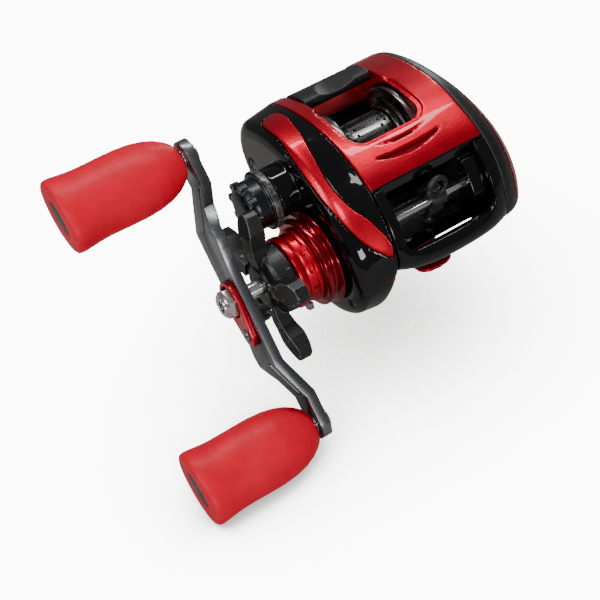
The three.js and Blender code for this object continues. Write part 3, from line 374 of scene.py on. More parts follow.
def disc(x0, x1, radius, bore=0, steps=64):
    """A washer, or a plain disc where there is no bore."""
    if bore:
        return turned([(x0, bore), (x0, radius), (x1, radius), (x1, bore), (x0, bore)], steps)
    return turned([(x0, 0), (x0, radius), (x1, radius), (x1, 0)], steps)


def plate(outline, x0, x1):
    """A plate with this [y, z] outline in millimetres, from x0 to x1."""
    shape = bmesh.new()
    face = shape.faces.new([shape.verts.new((x0 * MM, y * MM, z * MM)) for y, z in outline])
    grown = bmesh.ops.extrude_face_region(shape, geom=[face])["geom"]
    moved = [g for g in grown if isinstance(g, bmesh.types.BMVert)]
    bmesh.ops.translate(shape, verts=moved, vec=((x1 - x0) * MM, 0, 0))
    bmesh.ops.recalc_face_normals(shape, faces=shape.faces)
    return shape


def arc(y, z, radius, start, end, steps=24):
    """Points along an arc, with its angles in degrees."""
    angles = [math.radians(start + (end - start) * i / steps) for i in range(steps + 1)]
    return [(y + radius * math.cos(a), z + radius * math.sin(a)) for a in angles]


def rounded_box(y0, y1, z0, z1, radius):
    left, right, low, high = y0 + radius, y1 - radius, z0 + radius, z1 - radius
    return (arc(right, high, radius, 0, 90, 8) + arc(left, high, radius, 90, 180, 8)
            + arc(left, low, radius, 180, 270, 8) + arc(right, low, radius, 270, 360, 8))


def block(low, high):
    """A plain block between two corners in millimetres, used as a cutter."""
    shape = bmesh.new()
    middle = [(a + b) / 2 * MM for a, b in zip(low, high)]
    size = [(b - a) * MM for a, b in zip(low, high)]
    bmesh.ops.create_cube(shape, size=1, matrix=Matrix.LocRotScale(Vector(middle), None, Vector(size)))
    return shape


def put(shape, place):
    """Moves a shape by a matrix. One that mirrors it also turns its faces back outwards."""
    bmesh.ops.transform(shape, matrix=place, verts=shape.verts)
    if place.determinant() < 0:
        bmesh.ops.reverse_faces(shape, faces=shape.faces)
    return shape


# drawn [x, y] and raised along Z; and drawn [y, x] and raised along Z
STANDING = Matrix(((0, 1, 0, 0), (0, 0, 1, 0), (1, 0, 0, 0), (0, 0, 0, 1)))
SEEN_FROM_ABOVE = Matrix(((0, 0, 1, 0), (0, 1, 0, 0), (1, 0, 0, 0), (0, 0, 0, 1)))
# drawn [x, z] and raised along Y
FROM_THE_FRONT = Matrix(((0, 1, 0, 0), (1, 0, 0, 0), (0, 0, 1, 0), (0, 0, 0, 1)))

# %% [markdown]
# Pockets and holes are cut with Boolean modifiers, which stay exact however the skins bend. `carve` runs
# them on throwaway objects and hands back a fresh bmesh, so no modifier is left on a finished piece.

# %% Cutting and joining
def evaluated(thing):
    """The bmesh of an object with its modifiers applied. The object is removed."""
    graph = bpy.context.evaluated_depsgraph_get()
    result = bmesh.new()
    result.from_mesh(thing.evaluated_get(graph).to_mesh())
    bpy.data.objects.remove(thing)
    return result


def loose(shape):
    """A throwaway object around a bmesh."""
    data = bpy.data.meshes.new("rough")
    shape.to_mesh(data)
    shape.free()
    thing = bpy.data.objects.new("rough", data)
    bpy.context.scene.collection.objects.link(thing)
    return thing


def carve(shape, operation, *tools, solver="MANIFOLD"):
    """The shape after one Boolean with each tool: DIFFERENCE, UNION or INTERSECT."""
    base = loose(shape)
    cutters = [loose(tool) for tool in tools]
    for cutter in cutters:
        step = base.modifiers.new("cut", "BOOLEAN")
        step.operation, step.object, step.solver = operation, cutter, solver
    result = evaluated(base)
    for cutter in cutters:
        bpy.data.objects.remove(cutter)
    return result


def cut(shape, *tools, solver="MANIFOLD"):
    return carve(shape, "DIFFERENCE", *tools, solver=solver)


def join(shape, *tools, solver="MANIFOLD"):
    return carve(shape, "UNION", *tools, solver=solver)


def keep(shape, *tools, solver="MANIFOLD"):
    return carve(shape, "INTERSECT", *tools, solver=solver)


# %% [markdown]
# A machined edge is never razor sharp: a cutter leaves a small bevel that catches the light.
# `break_edges` bevels each edge that folds by more than a given angle. A moulded or cast shell has
# softer, rounder edges, so `cast` remeshes it in fine voxels and smooths them, which rounds every edge
# alike.

# %% Edges
def break_edges(shape, width_mm, angle=30, segments=2, flat=False):
    """Bevels the folds that are sharper than the angle. A flat piece first has its level faces merged."""
    limit = math.radians(angle)
    if flat:
        bmesh.ops.remove_doubles(shape, verts=shape.verts, dist=2e-6)
        bmesh.ops.dissolve_limit(shape, angle_limit=math.radians(0.5), verts=shape.verts, edges=shape.edges)
    folds = [e for e in shape.edges if e.is_manifold and e.calc_face_angle(0) > limit]
    bmesh.ops.bevel(shape, geom=folds, offset=width_mm * MM, offset_type="OFFSET", segments=segments,
                    profile=0.5, affect="EDGES", clamp_overlap=True, material=-1)
    bmesh.ops.recalc_face_normals(shape, faces=shape.faces)
    return shape


def cast(shape, voxel_mm, passes=6, share=1.0):
    """Fine voxels, smoothed, as for a moulded or cast shell; share is the part of the faces that is kept."""
    rough = loose(shape)
    voxels = rough.modifiers.new("voxels", "REMESH")
    voxels.mode, voxels.voxel_size = "VOXEL", voxel_mm * MM
    soft = rough.modifiers.new("soft", "SMOOTH")
    soft.factor, soft.iterations = 0.5, passes
    if share < 1:
        thin = rough.modifiers.new("thin", "DECIMATE")
        thin.ratio = share
    return evaluated(rough)


# %% [markdown]
# `finished` turns a bmesh into a named piece: it takes its finish from the record's slot, rides on its
# CAD node's body, and stands for that node.

# %% From a shape to a piece
def finished(name, shape, *nodes, finish=None, extra=None, smooth=35):
    """Makes the piece that replaces these CAD nodes, shaded smooth up to the given fold."""
    data = bpy.data.meshes.new(name)
    shape.to_mesh(data)
    shape.free()
    data.shade_smooth()
    data.set_sharp_from_angle(angle=math.radians(smooth))
    piece = bpy.data.objects.new(name, data)
    bpy.context.scene.collection.objects.link(piece)
    slot = SLOT_OF[nodes[0]]
    data.materials.append(FINISHES[finish or slot])
    for second in extra or []:
        data.materials.append(FINISHES[second])
    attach(piece, BODY_OF[nodes[0]])
    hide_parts(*nodes)
    print(f"{name}: {sum(len(p.vertices) - 2 for p in data.polygons)} triangles")
    return piece


# %% [markdown]
# ## The body's skins
# The frame, hood and covers share one flowing body. Its side outlines stand across the X axis like ribs
# of a boat, and each is a smooth closed curve through a few points. `skin` bends a flat grid round them:
# one way runs along the ribs' curve, the other from rib to rib.

# %% Side outlines
BODY = [(28, 36.5), (15, 42), (0, 43.8), (-10, 43.2), (-19, 40.5), (-28.8, 35.6), (-37, 27.5),
        (-42, 18.5), (-44.2, 13), (-42.4, 9.8), (-33, 8.2), (-18, 6.8), (0, 5.6), (13, 7), (24, 13.4),
        (30, 23), (31, 29.5)]
GEAR_INNER = [(28, 36.5), (15, 42), (0, 43.8), (-10, 43.2), (-19, 40.5), (-28.8, 35.6), (-35.8, 27.8),
              (-40.2, 19), (-39.6, 12.4), (-35.6, 6.2), (-30.4, -0.8), (-21.8, -8.6), (-11, -11.6),
              (2, -9), (15, 1.5), (26, 14), (30.8, 27)]
GEAR_OUTER = [(27.5, 35), (16, 40), (3, 41.2), (-8, 39), (-16, 35.8), (-25, 30.4), (-32, 22.8),
              (-36.8, 14), (-37.8, 6.6), (-35, -1.2), (-29.8, -8), (-21.6, -12.4), (-11.5, -13.3),
              (0, -9), (14, 1), (25.6, 14), (30.4, 26)]
PALM_INNER = [(28, 36.5), (15, 42), (0, 43.8), (-10, 43.2), (-19, 40.5), (-28.8, 35.6), (-36.4, 27.4),
              (-39.8, 18.5), (-40.6, 12), (-37, 6.8), (-31, 1), (-20, -3), (-6, -3.6), (7, -2), (18, 4),
              (27, 15), (30.8, 27)]
PALM_OUTER = [(22, 31.4), (12, 34), (0, 34.8), (-9, 34.6), (-17, 33.2), (-25, 29.6), (-31, 23.6),
              (-34, 17), (-34.6, 9.6), (-32, 3), (-26, -1), (-17, -3), (-6, -3.4), (5, -2), (14, 3),
              (21.6, 12.6), (24.4, 24)]
HOOD_LEFT = GEAR_INNER[:8] + [(-40.8, 14.8), (-38.2, 10.6)] + BODY[10:]
HOOD_RIGHT = PALM_INNER[:9] + [(-38.6, 9.2)] + BODY[10:]


def between(start, end, share):
    """An outline part of the way from one to another."""
    return [(a + (c - a) * share, b + (d - b) * share) for (a, b), (c, d) in zip(start, end)]


def along(points, share):
    """The point at this share of the way round a smooth closed curve through the points."""
    count = len(points)
    step, rest = divmod(share * count, 1)
    p = [Vector(points[(int(step) + k) % count]) for k in (-1, 0, 1, 2)]
    d = [max((p[k + 1] - p[k]).length_squared ** 0.25, 1e-4) for k in range(3)]
    lean = [((p[k] - p[k - 1]) / d[k - 1] - (p[k + 1] - p[k - 1]) / (d[k - 1] + d[k])
             + (p[k + 1] - p[k]) / d[k]) * d[1] for k in (1, 2)]
    a, b = p[1], p[2]
    return (a + lean[0] * rest + (-3 * a + 3 * b - 2 * lean[0] - lean[1]) * rest ** 2
            + (2 * a - 2 * b + lean[0] + lean[1]) * rest ** 3)


def ring_of(points, inset, columns):
    """A closed ring of points, pulled inwards by the inset."""
    ring = [along(points, i / columns) for i in range(columns)]
    pulled = []
    for i, point in enumerate(ring):
        run = (ring[(i + 1) % columns] - ring[i - 1]).normalized()
        pulled.append(point + inset * Vector((-run.y, run.x)))
    return pulled


def skin(ribs, inset=0.0, columns=120, steps=5):
    """A closed skin over ribs, each (x, outline, inset) in millimetres. Two ribs give a straight one."""
    rings = [[(x, *p) for p in ring_of(outline, pull + inset, columns)] for x, outline, pull in ribs]
    spans = len(rings) - 1
    steps = steps if spans > 1 else 1
    shape = bmesh.new()
    bmesh.ops.create_grid(shape, x_segments=columns, y_segments=spans * steps, size=0.5)
    for vert in shape.verts:
        column = round((vert.co.x + 0.5) * columns) % columns
        rib, rest = divmod(round((vert.co.y + 0.5) * spans * steps) / steps, 1)
        rib = int(rib)
        a, b, c, d = (Vector(rings[min(max(rib + k, 0), spans)][column]) for k in (-1, 0, 1, 2))
        lean_b, lean_c = (c - a) / 2, (d - b) / 2
        point = (b + lean_b * rest + (3 * (c - b) - 2 * lean_b - lean_c) * rest ** 2
                 + (2 * (b - c) + lean_b + lean_c) * rest ** 3) if rest else b
        vert.co = point * MM
    bmesh.ops.remove_doubles(shape, verts=shape.verts, dist=1e-7)
    bmesh.ops.holes_fill(shape, edges=[e for e in shape.edges if e.is_boundary], sides=0)
    bmesh.ops.recalc_face_normals(shape, faces=shape.faces)
    return shape


FRAME_LEFT, FRAME_RIGHT = -17.6, 23.5
swelling = between(GEAR_INNER, GEAR_OUTER, 0.3)
belly = [(-39.6, 9.6), (-36.2, 0.2), (-30.6, -7.4), (-22, -12.4), (-11, -13.2)]
GEAR_MIDDLE = swelling[:8] + belly + swelling[13:]
GEAR_RIBS = [(-30.2, GEAR_OUTER, 4.4), (-29.4, GEAR_OUTER, 2.1), (-27.6, GEAR_OUTER, 0.4),
             (-25.4, between(GEAR_MIDDLE, GEAR_OUTER, 0.85), 0), (-19.6, GEAR_MIDDLE, 0),
             (-17.4, GEAR_INNER, 0)]
PALM_RIBS = [(23.3, PALM_INNER, 0), (26.4, between(PALM_INNER, PALM_OUTER, 0.12), 0),
             (29, between(PALM_INNER, PALM_OUTER, 0.36), 0), (31.4, between(PALM_INNER, PALM_OUTER, 0.68), 0),
             (33, PALM_OUTER, 0), (34, PALM_OUTER, 2.6), (34.5, PALM_OUTER, 6)]
HOOD_RIBS = [(FRAME_LEFT, HOOD_LEFT, 0), (-12, between(HOOD_LEFT, BODY, 0.6), 0),
             (-4, between(HOOD_LEFT, BODY, 0.94), 0), (6, BODY, 0), (15, between(HOOD_RIGHT, BODY, 0.8), 0),
             (20.4, between(HOOD_RIGHT, BODY, 0.4), 0), (FRAME_RIGHT, HOOD_RIGHT, 0)]


def slab(outline, x0, x1, inset=0.0):
    """A skin straight from x0 to x1."""
    return skin([(x0, outline, 0), (x1, outline, 0)], inset)


print("outlines:", len(BODY), "points each")

# %% [markdown]
# ## Frame
# The frame is one aluminium casting with the foot in one piece. It starts as a slab with the body's
# outline. The cutters take out the room for the spool, the thumb, the line guide and the gears. A shallow
# shoulder runs round the thumb opening, and two crescent grooves cross the bridge. The grooves carry
# painted shade in a darker red, the nose is gloss black, and the rooms for the spool and the line guide
# are satin black, with painted shade in dark red on the chamber wall at the gear side.

# %% Frame
CHAMBER = 12.8
BRIDGE_FRONT = -29
SPOOL_ROOM = 16.6
POCKET_FLOOR = -14.9
CHAMBER_FLOOR = 10.8


def groove(front, half, wide, curve, steps=24):
    """The outline of a crescent across the bridge, as [x, y]."""
    def arc_through(lift):
        start = Vector((-half, front + curve))
        top = Vector((1.5, front - curve * 1.2 + lift))
        end = Vector((half + 3, front + curve))
        shares = [i / steps for i in range(steps + 1)]
        return [start * (1 - t) ** 2 + top * 2 * t * (1 - t) + end * t * t for t in shares]
    return arc_through(-wide) + arc_through(wide)[::-1][1:-1]


def bend(a, b, c, steps=6):
    """Points that leave a towards b and arrive at c."""
    a, b, c = Vector(a), Vector(b), Vector(c)
    shares = [i / steps for i in range(1, steps + 1)]
    return [a * (1 - t) ** 2 + b * 2 * t * (1 - t) + c * t * t for t in shares]


def foot():
    """A flat foot whose ends thin to ramps, on a rounded stem."""
    half, front, back = 6.5, -36.5, 27.5
    outline = [(-half, front + 4), *bend((-half, front + 4), (-half, front), (0, front)),
               *bend((0, front), (half, front), (half, front + 4)), (half, back - 4),
               *bend((half, back - 4), (half, back), (0, back)),
               *bend((0, back), (-half, back), (-half, back - 4))]
    sole = put(plate(outline[:-1], 0, 2.5), STANDING)
    ramps = [plate([(tip, 1.1), (tip, 5), (inner, 5), (inner, 2.5)], -20, 20)
             for tip, inner in ((front, front + 20), (back, back - 20))]
    stem = put(plate(rounded_box(-5.6, 5.6, -16, 13, 4), 1, 6.8), STANDING)
    return join(cut(sole, *ramps), stem)


def frame_casting():
    behind_bridge = ([-40, BRIDGE_FRONT, -20], [40, 40, 60])
    body = keep(slab(BODY, FRAME_LEFT, FRAME_RIGHT), block(*behind_bridge))
    nose = keep(slab(between(HOOD_LEFT, HOOD_RIGHT, 0.5), FRAME_LEFT + 0.6, FRAME_RIGHT - 0.6, 2.3),
                block([-40, -36.6, 7], [40, BRIDGE_FRONT + 1, 31]))
    gear_wall = keep(slab(GEAR_INNER, FRAME_LEFT, -CHAMBER, 0.3), block(*behind_bridge))
    body = join(body, nose, gear_wall)
    body = cut(body, put(disc(-CHAMBER, 30, SPOOL_ROOM, steps=128), ON_SPOOL))
    body = cut(body, put(plate(rounded_box(-CHAMBER, CHAMBER, -14.6, 40, 5), 31, 60), STANDING))
    body = cut(body, block([-CHAMBER, -50, CHAMBER_FLOOR], [CHAMBER + 1.4, -12, 32]))
    shoulder = put(plate(rounded_box(-CHAMBER - 1.5, CHAMBER + 1.5, -16.1, 9, 6), 31, 60), STANDING)
    body = cut(body, cut(shoulder, slab(BODY, -40, 40, 0.9)))
    for line in ((-18.6, 9.4, 0.7, 1.3), (-22.8, 11.4, 2.3, 1.7)):
        crescent = cut(put(plate(groove(*line), 33, 60), STANDING), slab(BODY, -40, 40, 1.3))
        body = cut(body, crescent)
    pocket = keep(slab(GEAR_INNER, FRAME_LEFT - 1, POCKET_FLOOR, 3), block([-40, -27.6, -20], [0, 40, 38]))
    body = cut(body, pocket, put(disc(-20, POCKET_FLOOR, 6.2), ON_WORM), put(disc(-20, -11.8, 5.6), ON_SPOOL),
               put(disc(-20, -11.8, 2.9), ON_SHAFT), put(disc(-20, 19, 2.4), ON_WORM),
               block([-20, 18.6, 30.6], [-11.8, 22.4, 38.6]))
    return join(body, foot())


casting = cast(frame_casting(), 0.27, passes=5, share=0.26)
frame_piece = finished("frame_casting", casting, "frame", extra=["dark_red", "gloss_black", "satin_black"])
BRIDGE_LINE = [p for p in ring_of(BODY, 0, 600) if p.y > 30]
# index 1, the darker red, is painted shade: it goes into the crescent grooves and onto the gear-side chamber
# wall
PAINTED_SHADE_RED, GLOSS, SATIN = 1, 2, 3
for face in frame_piece.data.polygons:
    x, y, z = face.center / MM
    in_bore = math.hypot(y, z - SPOOL_HEIGHT) < SPOOL_ROOM + 0.4 and x > -CHAMBER - 0.3
    if abs(x) < 15 and -26 < y < -15 and z > 33:
        surface = min(BRIDGE_LINE, key=lambda p: abs(p.x - y)).y
        face.material_index = PAINTED_SHADE_RED if y < -16.6 and 0.5 < surface - z < 2 else 0
    elif y < BRIDGE_FRONT + 0.3 and z > 6.5:
        face.material_index = GLOSS
    elif CHAMBER_FLOOR - 0.4 < z < 32.4 and -13.2 < x < 14.6 and -40 < y < -11 or in_bore and z < 33:
        face.material_index = PAINTED_SHADE_RED if x < -12.4 else SATIN
print("faces painted:", sum(f.material_index > 0 for f in frame_piece.data.polygons))

# %% [markdown]
# ## Front hood
# The hood wraps the nose from side to side and leaves a wide mouth for the line. It is a thin shell: the
# same skin pulled in by its wall is taken away from inside, and the mouth is cut from the front.

# %% Front hood
LIP_HEIGHT = 17.5


def hood_shell():
    zone = block([FRAME_LEFT + 0.1, -60, 6.9], [FRAME_RIGHT - 0.1, BRIDGE_FRONT - 0.3, 60])
    hood = keep(skin(HOOD_RIBS), zone)
    hollow = keep(skin(HOOD_RIBS, 1.9), block([-40, -60, CHAMBER_FLOOR], [40, 0, 60]))
    mouth = put(plate(rounded_box(-14.2, 19.6, LIP_HEIGHT, 60, 3), -60, -20), FROM_THE_FRONT)
    return cut(cut(hood, hollow, mouth), block([-40, -37, 0], [40, 0, CHAMBER_FLOOR + 0.4]))


finished("hood_shell", cast(hood_shell(), 0.24, passes=8, share=0.4), "front_hood", smooth=60)

# %% [markdown]
# ## Gear-side cover and its blade
# The cover is a deep bowl over the gears. A low boss carries the cast control, and a wide opening lets
# the handle shaft through. The red blade is a thin strip of the same skin, set into a channel with a hair
# of room round it.

# %% Gear-side cover
BLADE = [(17, -20.8), (4, -21.6), (-8, -24), (-18, -25.2), (-26, -24), (-33, -20.6), (-39.2, -18.3),
         (-36, -22.6), (-29, -26.8), (-19, -28.8), (-8, -28.8), (4, -27.6), (17, -26)]
COVER_FACE = -30
COVER_SCREWS = [(20.5, 23), (6.5, 1.6)]


def ribs_pulled(ribs, wall):
    return [(x, outline, pull + wall) for x, outline, pull in ribs]


def blade_strip(slack):
    outline = [tuple(p) for p in ring_of(BLADE, -slack, 90)]
    band = put(plate(outline, 7, 60), SEEN_FROM_ABOVE)
    band = keep(band, skin(GEAR_RIBS), block([-28.9 - slack, -60, 7], [FRAME_LEFT - 0.8 + slack, 60, 60]))
    return cut(band, skin(ribs_pulled(GEAR_RIBS, 0.7 + slack)))


def cover_shell():
    cover = keep(skin(GEAR_RIBS), block([-60, -60, -40], [FRAME_LEFT - 0.3, 60, 60]))
    hollow = keep(skin(ribs_pulled(GEAR_RIBS, 1.4)), block([COVER_FACE + 1.6, -60, -40], [0, 60, 60]))
    flange_room = put(disc(-40, -31, 16), ON_SHAFT)
    boss = cut(put(disc(-36.8, COVER_FACE + 0.5, 9, steps=96), ON_SPOOL), flange_room)
    cover = cut(join(cover, boss, put(disc(-31, COVER_FACE + 0.5, 12.4), ON_SHAFT)), hollow)
    cover = cut(cover, put(disc(-35, -27, 5.4), ON_SPOOL), put(disc(-40, -27, 3), ON_SPOOL),
                put(disc(-40, -27, 9.3), ON_SHAFT))
    for y, z in COVER_SCREWS:
        seat = moved(0, y, z)
        cover = cut(cover, put(disc(-40, -29, 2.3), seat), put(disc(-40, -14.5, 1.4), seat))
    oil_port = put(disc(-40, -29.4, 1.5), moved(0, -31, -1))
    return cut(cover, oil_port, blade_strip(0.3))


finished("gear_cover", cast(cover_shell(), 0.24, passes=7, share=0.34), "gear_side_cover", smooth=60)
finished("blade", cast(blade_strip(0.0), 0.14, passes=4, share=0.6), "blade_trim", smooth=60)

# %% [markdown]
# ## Palm side
# The palm side is a satin plate that carries the brake, under a shaped dark red panel that fills the
# hand.

# %% Palm plate and panel
PANEL_SPLIT = 29.2
DIAL_SEAT = moved(0, -15, 19)


def palm_plate():
    plate_body = keep(skin(PALM_RIBS), block([FRAME_RIGHT + 0.3, -60, -40], [PANEL_SPLIT, 60, 60]))
    plate_body = join(plate_body, put(disc(17, FRAME_RIGHT + 1, 16.3, steps=128), ON_SPOOL))
    return cut(plate_body, put(disc(10, 25.6, 15), ON_SPOOL), put(disc(24, 40, 4.2), ON_SPOOL))


def palm_panel():
    panel = keep(skin(PALM_RIBS), block([PANEL_SPLIT + 0.3, -60, -40], [60, 60, 60]))
    return cut(panel, put(disc(31.6, 40, 10.3, steps=96), DIAL_SEAT), put(disc(20, 40, 1.9), DIAL_SEAT))


finished("palm_plate", cast(palm_plate(), 0.33, passes=5, share=0.5), "palm_side_plate", smooth=60)
finished("palm_panel", cast(palm_panel(), 0.3, passes=7, share=0.5), "palm_side_panel", smooth=60)

# %% [markdown]
# The angler turns this dial to set the magnetic brake. Small grips are cut round its rim, and a bar across
# its face gives the fingers a hold.

# %% Brake dial
def brake_dial():
    dial = turned([(31.9, 0), (31.9, 9.4), (32.6, 10), (34.6, 10), (35.4, 9), (35.4, 0)])
    count, reach = 24, 10.3
    angles = [2 * math.pi * i / count for i in range(count)]
    grips = [put(disc(31, 37, 0.6, steps=16), moved(0, reach * math.cos(a), reach * math.sin(a)))
             for a in angles]
    dial = cut(dial, *grips)
    handle_bar = block([34, -8.2, -1.1], [36.4, 8.2, 1.1])
    return put(join(dial, handle_bar, disc(30, 32.2, 1.5)), DIAL_SEAT)


finished("brake_knob", break_edges(brake_dial(), 0.18, 40), "brake_dial")

# %% [markdown]
# ## Spool
# The spool is turned from bar and then drilled: rows of small holes in the drum lighten it, and their
# walls are left bright. Its shaft, pin and the brake's cup turn with it.

# %% Spool
def spool():
    body = turned([(-12.3, 14.6), (-12.3, 16), (-10.8, 16), (-10.5, 14.8), (-9.9, 13), (-9.4, 12.8),
                   (-8.6, 11.2), (-7.9, 11), (-7.6, 9.8), (7.6, 9.8), (7.9, 11), (8.6, 11.2),
                   (9.4, 12.8), (9.9, 13), (10.5, 14.8), (10.8, 16), (12.3, 16), (12.3, 14.6),
                   (9.6, 10.2), (8, 8.7), (-3, 8.7), (-3, 3.4), (2.4, 3.4), (2.4, 1.55), (-8, 1.55),
                   (-8, 3.4), (-4.2, 3.4), (-4.2, 8.7), (-8, 8.7), (-9.6, 10.2), (-12.3, 14.6)], 128)
    body = break_edges(body, 0.12, 25)
    drills = []
    count = 24
    for x in (-6.4, -4.4, 6.4, 4.4):
        for i in range(count):
            turn = roll(360 * i / count + (7.5 if abs(x) < 5 else 0))
            drill = disc(0, 4, 0.55, steps=12)
            drills.append(put(drill, turn @ moved(x, 0, 0) @ ALONG_Z @ moved(7.8, 0, 0)))
    bundle = bmesh.new()
    for drill in drills:
        part = bpy.data.meshes.new("drill")
        drill.to_mesh(part)
        drill.free()
        bundle.from_mesh(part)
        bpy.data.meshes.remove(part)
    return put(cut(body, bundle), ON_SPOOL)


spool_piece = finished("spool_body", spool(), "spool", finish="spool_metal", extra=["bright_steel"])
for face in spool_piece.data.polygons:
    reach = (face.center - SPOOL_CENTRE).yz.length / MM
    facing = abs(face.normal.yz.normalized().dot((face.center - SPOOL_CENTRE).yz.normalized()))
    face.material_index = int(8.9 < reach < 9.75 and abs(face.center.x / MM) < 7.3 and facing < 0.8)
finished("axle", put(break_edges(disc(-34.6, 27.6, 1.25, steps=32), 0.15), ON_SPOOL), "spool_shaft")
cup_profile = [(9.7, 1.6), (9.7, 3), (13.6, 3), (13.6, 9.9), (19.1, 9.9), (19.1, 9), (14.6, 9), (14.6, 1.6),
               (9.7, 1.6)]
finished("brake_cup", put(break_edges(turned(cup_profile), 0.15), ON_SPOOL), "inductor_rotor")

# %% [markdown]
# ## Thumb bar
# The angler's thumb presses this bar to free the spool. Its top is dished, its front edge curves round
# the spool, and a tongue at the gear side reaches the clutch.

# %% Thumb bar
def thumb_bar():
    side = [(13.2, 42.2), (17, 42.4), (21.5, 41), (25.4, 37.6), (24, 36), (18, 36.2), (14, 38.6)]
    bar = plate([tuple(along(side, i / 70)) for i in range(70)], -12.3, 12.3)
    for drop in (0, 2, 4):
        bar = cut(bar, put(disc(-20, 20, SPOOL_ROOM, steps=128), moved(0, 0, SPOOL_HEIGHT + drop)))
    dish = put(disc(-20, 20, 16, steps=128), ALONG_Y)
    dish = put(dish, moved(0, 10, 57.2))
    return join(cut(bar, dish), block([-17.2, 19.2, 35], [-11.9, 21.6, 37.9]))


finished("thumb_press", cast(thumb_bar(), 0.2, passes=4, share=0.6), "thumb_bar", smooth=60)

# %% [markdown]
# ## Collars on the cover
# Two red collars step down from the cover to the handle's shaft, and a third thin one turns with the
# star. The stepped collar is drilled round its rim, as a click ring is.

# %% Collars
def base_flange():
    ring = turned([(-36.4, 9.4), (-36.4, 13.6), (-35.8, 14.6), (-34.4, 14.6), (-33.6, 13.2), (-32.6, 13.2),
                   (-32, 15.6), (-31.3, 15.6), (-31.3, 9.4), (-36.4, 9.4)])
    return put(break_edges(ring, 0.2, 25), ON_SHAFT)


def stepped_collar():
    ring = break_edges(turned([(-41, 8.2), (-41, 11), (-40, 11.4), (-38.4, 11.4), (-38, 12.2), (-36.7, 12.2),
                               (-36.7, 6.2), (-37.7, 6.2), (-37.7, 8.2), (-41, 8.2)]), 0.18, 25)
    drills = [put(disc(0, 3, 0.75, steps=16), roll(30 * i) @ moved(-39.2, 0, 0) @ ALONG_Z @ moved(10.3, 0, 0))
              for i in range(12)]
    return put(cut(ring, *drills), ON_SHAFT)


finished("flange_collar", base_flange(), "base_flange", finish="dark_red")
finished("click_collar", stepped_collar(), "stepped_collar")
finished("thin_collar", put(break_edges(disc(-43.6, -41.4, 11.8, 6.4, 96), 0.25), ON_SHAFT), "star_flange")
lug_outline = [(11.8, -2.2), (14.2, -1.2), (14.2, 1.2), (11.8, 2.2)]
finished("lug", put(break_edges(plate(lug_outline, -40.6, -38.8), 0.25), ON_SHAFT @ roll(-118)), "click_lug")

# %% [markdown]
# ## Star drag
# Turning the star presses the drag washers together. A domed hub carries five arms that sweep away from
# the body and end in broad blades for the finger. Hub and arms are one casting, so they are joined and
# cast as one.

# %% Star drag
def star_arm():
    tip = [(8, -2.8), (14, -2.5), (18.5, -4.2), (22.4, -4), (25, -2.4), (26, 0.4), (25.2, 2), (22.8, 3),
           (20, 3.6), (14, 2.5), (8, 2.8)]
    side = [(7, -52.6), (12, -53.2), (18, -53.2), (27, -51.8), (27, -48), (18, -47.6), (12, -48.6),
            (7, -49.6)]
    return keep(plate(tip, -60, -40), put(plate([(y, x) for y, x in side], -10, 10), SEEN_FROM_ABOVE))


def star():
    hub = turned([(-52.6, 2.9), (-52.6, 6.2), (-51.6, 7.4), (-50.6, 10.2), (-49.6, 11), (-44.6, 11.4),
                  (-43.9, 10.6), (-43.9, 2.9), (-52.6, 2.9)])
    arms = [put(star_arm(), roll(-135 + 72 * i)) for i in range(5)]
    return put(cast(join(hub, *arms), 0.17, passes=3, share=0.5), ON_SHAFT)


finished("star_wheel", star(), "star_drag", finish="cast_metal", smooth=60)

# %% [markdown]
# ## Handle
# The arm is one bar, pressed so that its ends stand closer to the body than its middle, with slots milled
# to lighten it and a bright chamfer on every edge. Its outline is cut from above and its bends from the
# side.

# %% Handle arm
HANDLE_TURN = 50
HANDLE = ON_SHAFT @ roll(HANDLE_TURN)
HANDLE_REACH = 45
HUB_FACE, ARM_FACE, ARM_THICK, WING, TIP = -61.2, -56.4, 3.2, 9.8, 5.4
SCREW_AT = -11.4
RETAINER_SCREW = moved(0, SCREW_AT, 0)


def bezier(a, b, c, d, steps=14):
    a, b, c, d = (Vector(p) for p in (a, b, c, d))
    shares = [i / steps for i in range(steps)]
    return [a * (1 - t) ** 3 + b * 3 * t * (1 - t) ** 2 + c * 3 * t * t * (1 - t) + d * t ** 3
            for t in shares]


def handle_arm():
    low = bezier((0, -6.8), (24, -6.6), (30, -TIP), (HANDLE_REACH, -TIP))
    high = [(29, TIP), *bend((29, TIP), (24, WING), (19, WING)), *bend((19, WING), (10, 6.8), (0, 6.8))]
    half = [*low[1:], *arc(HANDLE_REACH, 0, TIP, -90, 90, 20), *high]
    outline = half + [(-y, -z) for y, z in half]
    bends = [(0, HUB_FACE), (23, HUB_FACE), (36, ARM_FACE), (60, ARM_FACE), (60, ARM_FACE + ARM_THICK),
             (35, ARM_FACE + ARM_THICK), (22, HUB_FACE + ARM_THICK), (0, HUB_FACE + ARM_THICK)]
    side = bends[1:-1] + [(-y, x) for y, x in bends[1:-1][::-1]]
    arm = keep(plate(outline, -70, -50), put(plate(side, -10, 10), SEEN_FROM_ABOVE))
    holes = [disc(-70, -50, 2.9), put(disc(-70, -50, 1.1, steps=24), RETAINER_SCREW)]
    for end in (-1, 1):
        holes.append(put(disc(-70, -50, 2.5, steps=32), moved(0, HANDLE_REACH * end, 0)))
        slot = [(y * end, z) for y, z in rounded_box(22, 35, 1.6, 3.6, 0.9)]
        holes.append(plate(slot, -70, -50))
    return put(break_edges(cut(arm, *holes), 0.5, 28, 2, flat=True), HANDLE)


finished("crank_arm", handle_arm(), "handle_arm")

# %% [markdown]
# A six-sided nut holds the arm on the handle's shaft. The red retainer keeps the nut from turning, and one
# small screw holds it to the arm. Two longer slotted screws hold the cover.

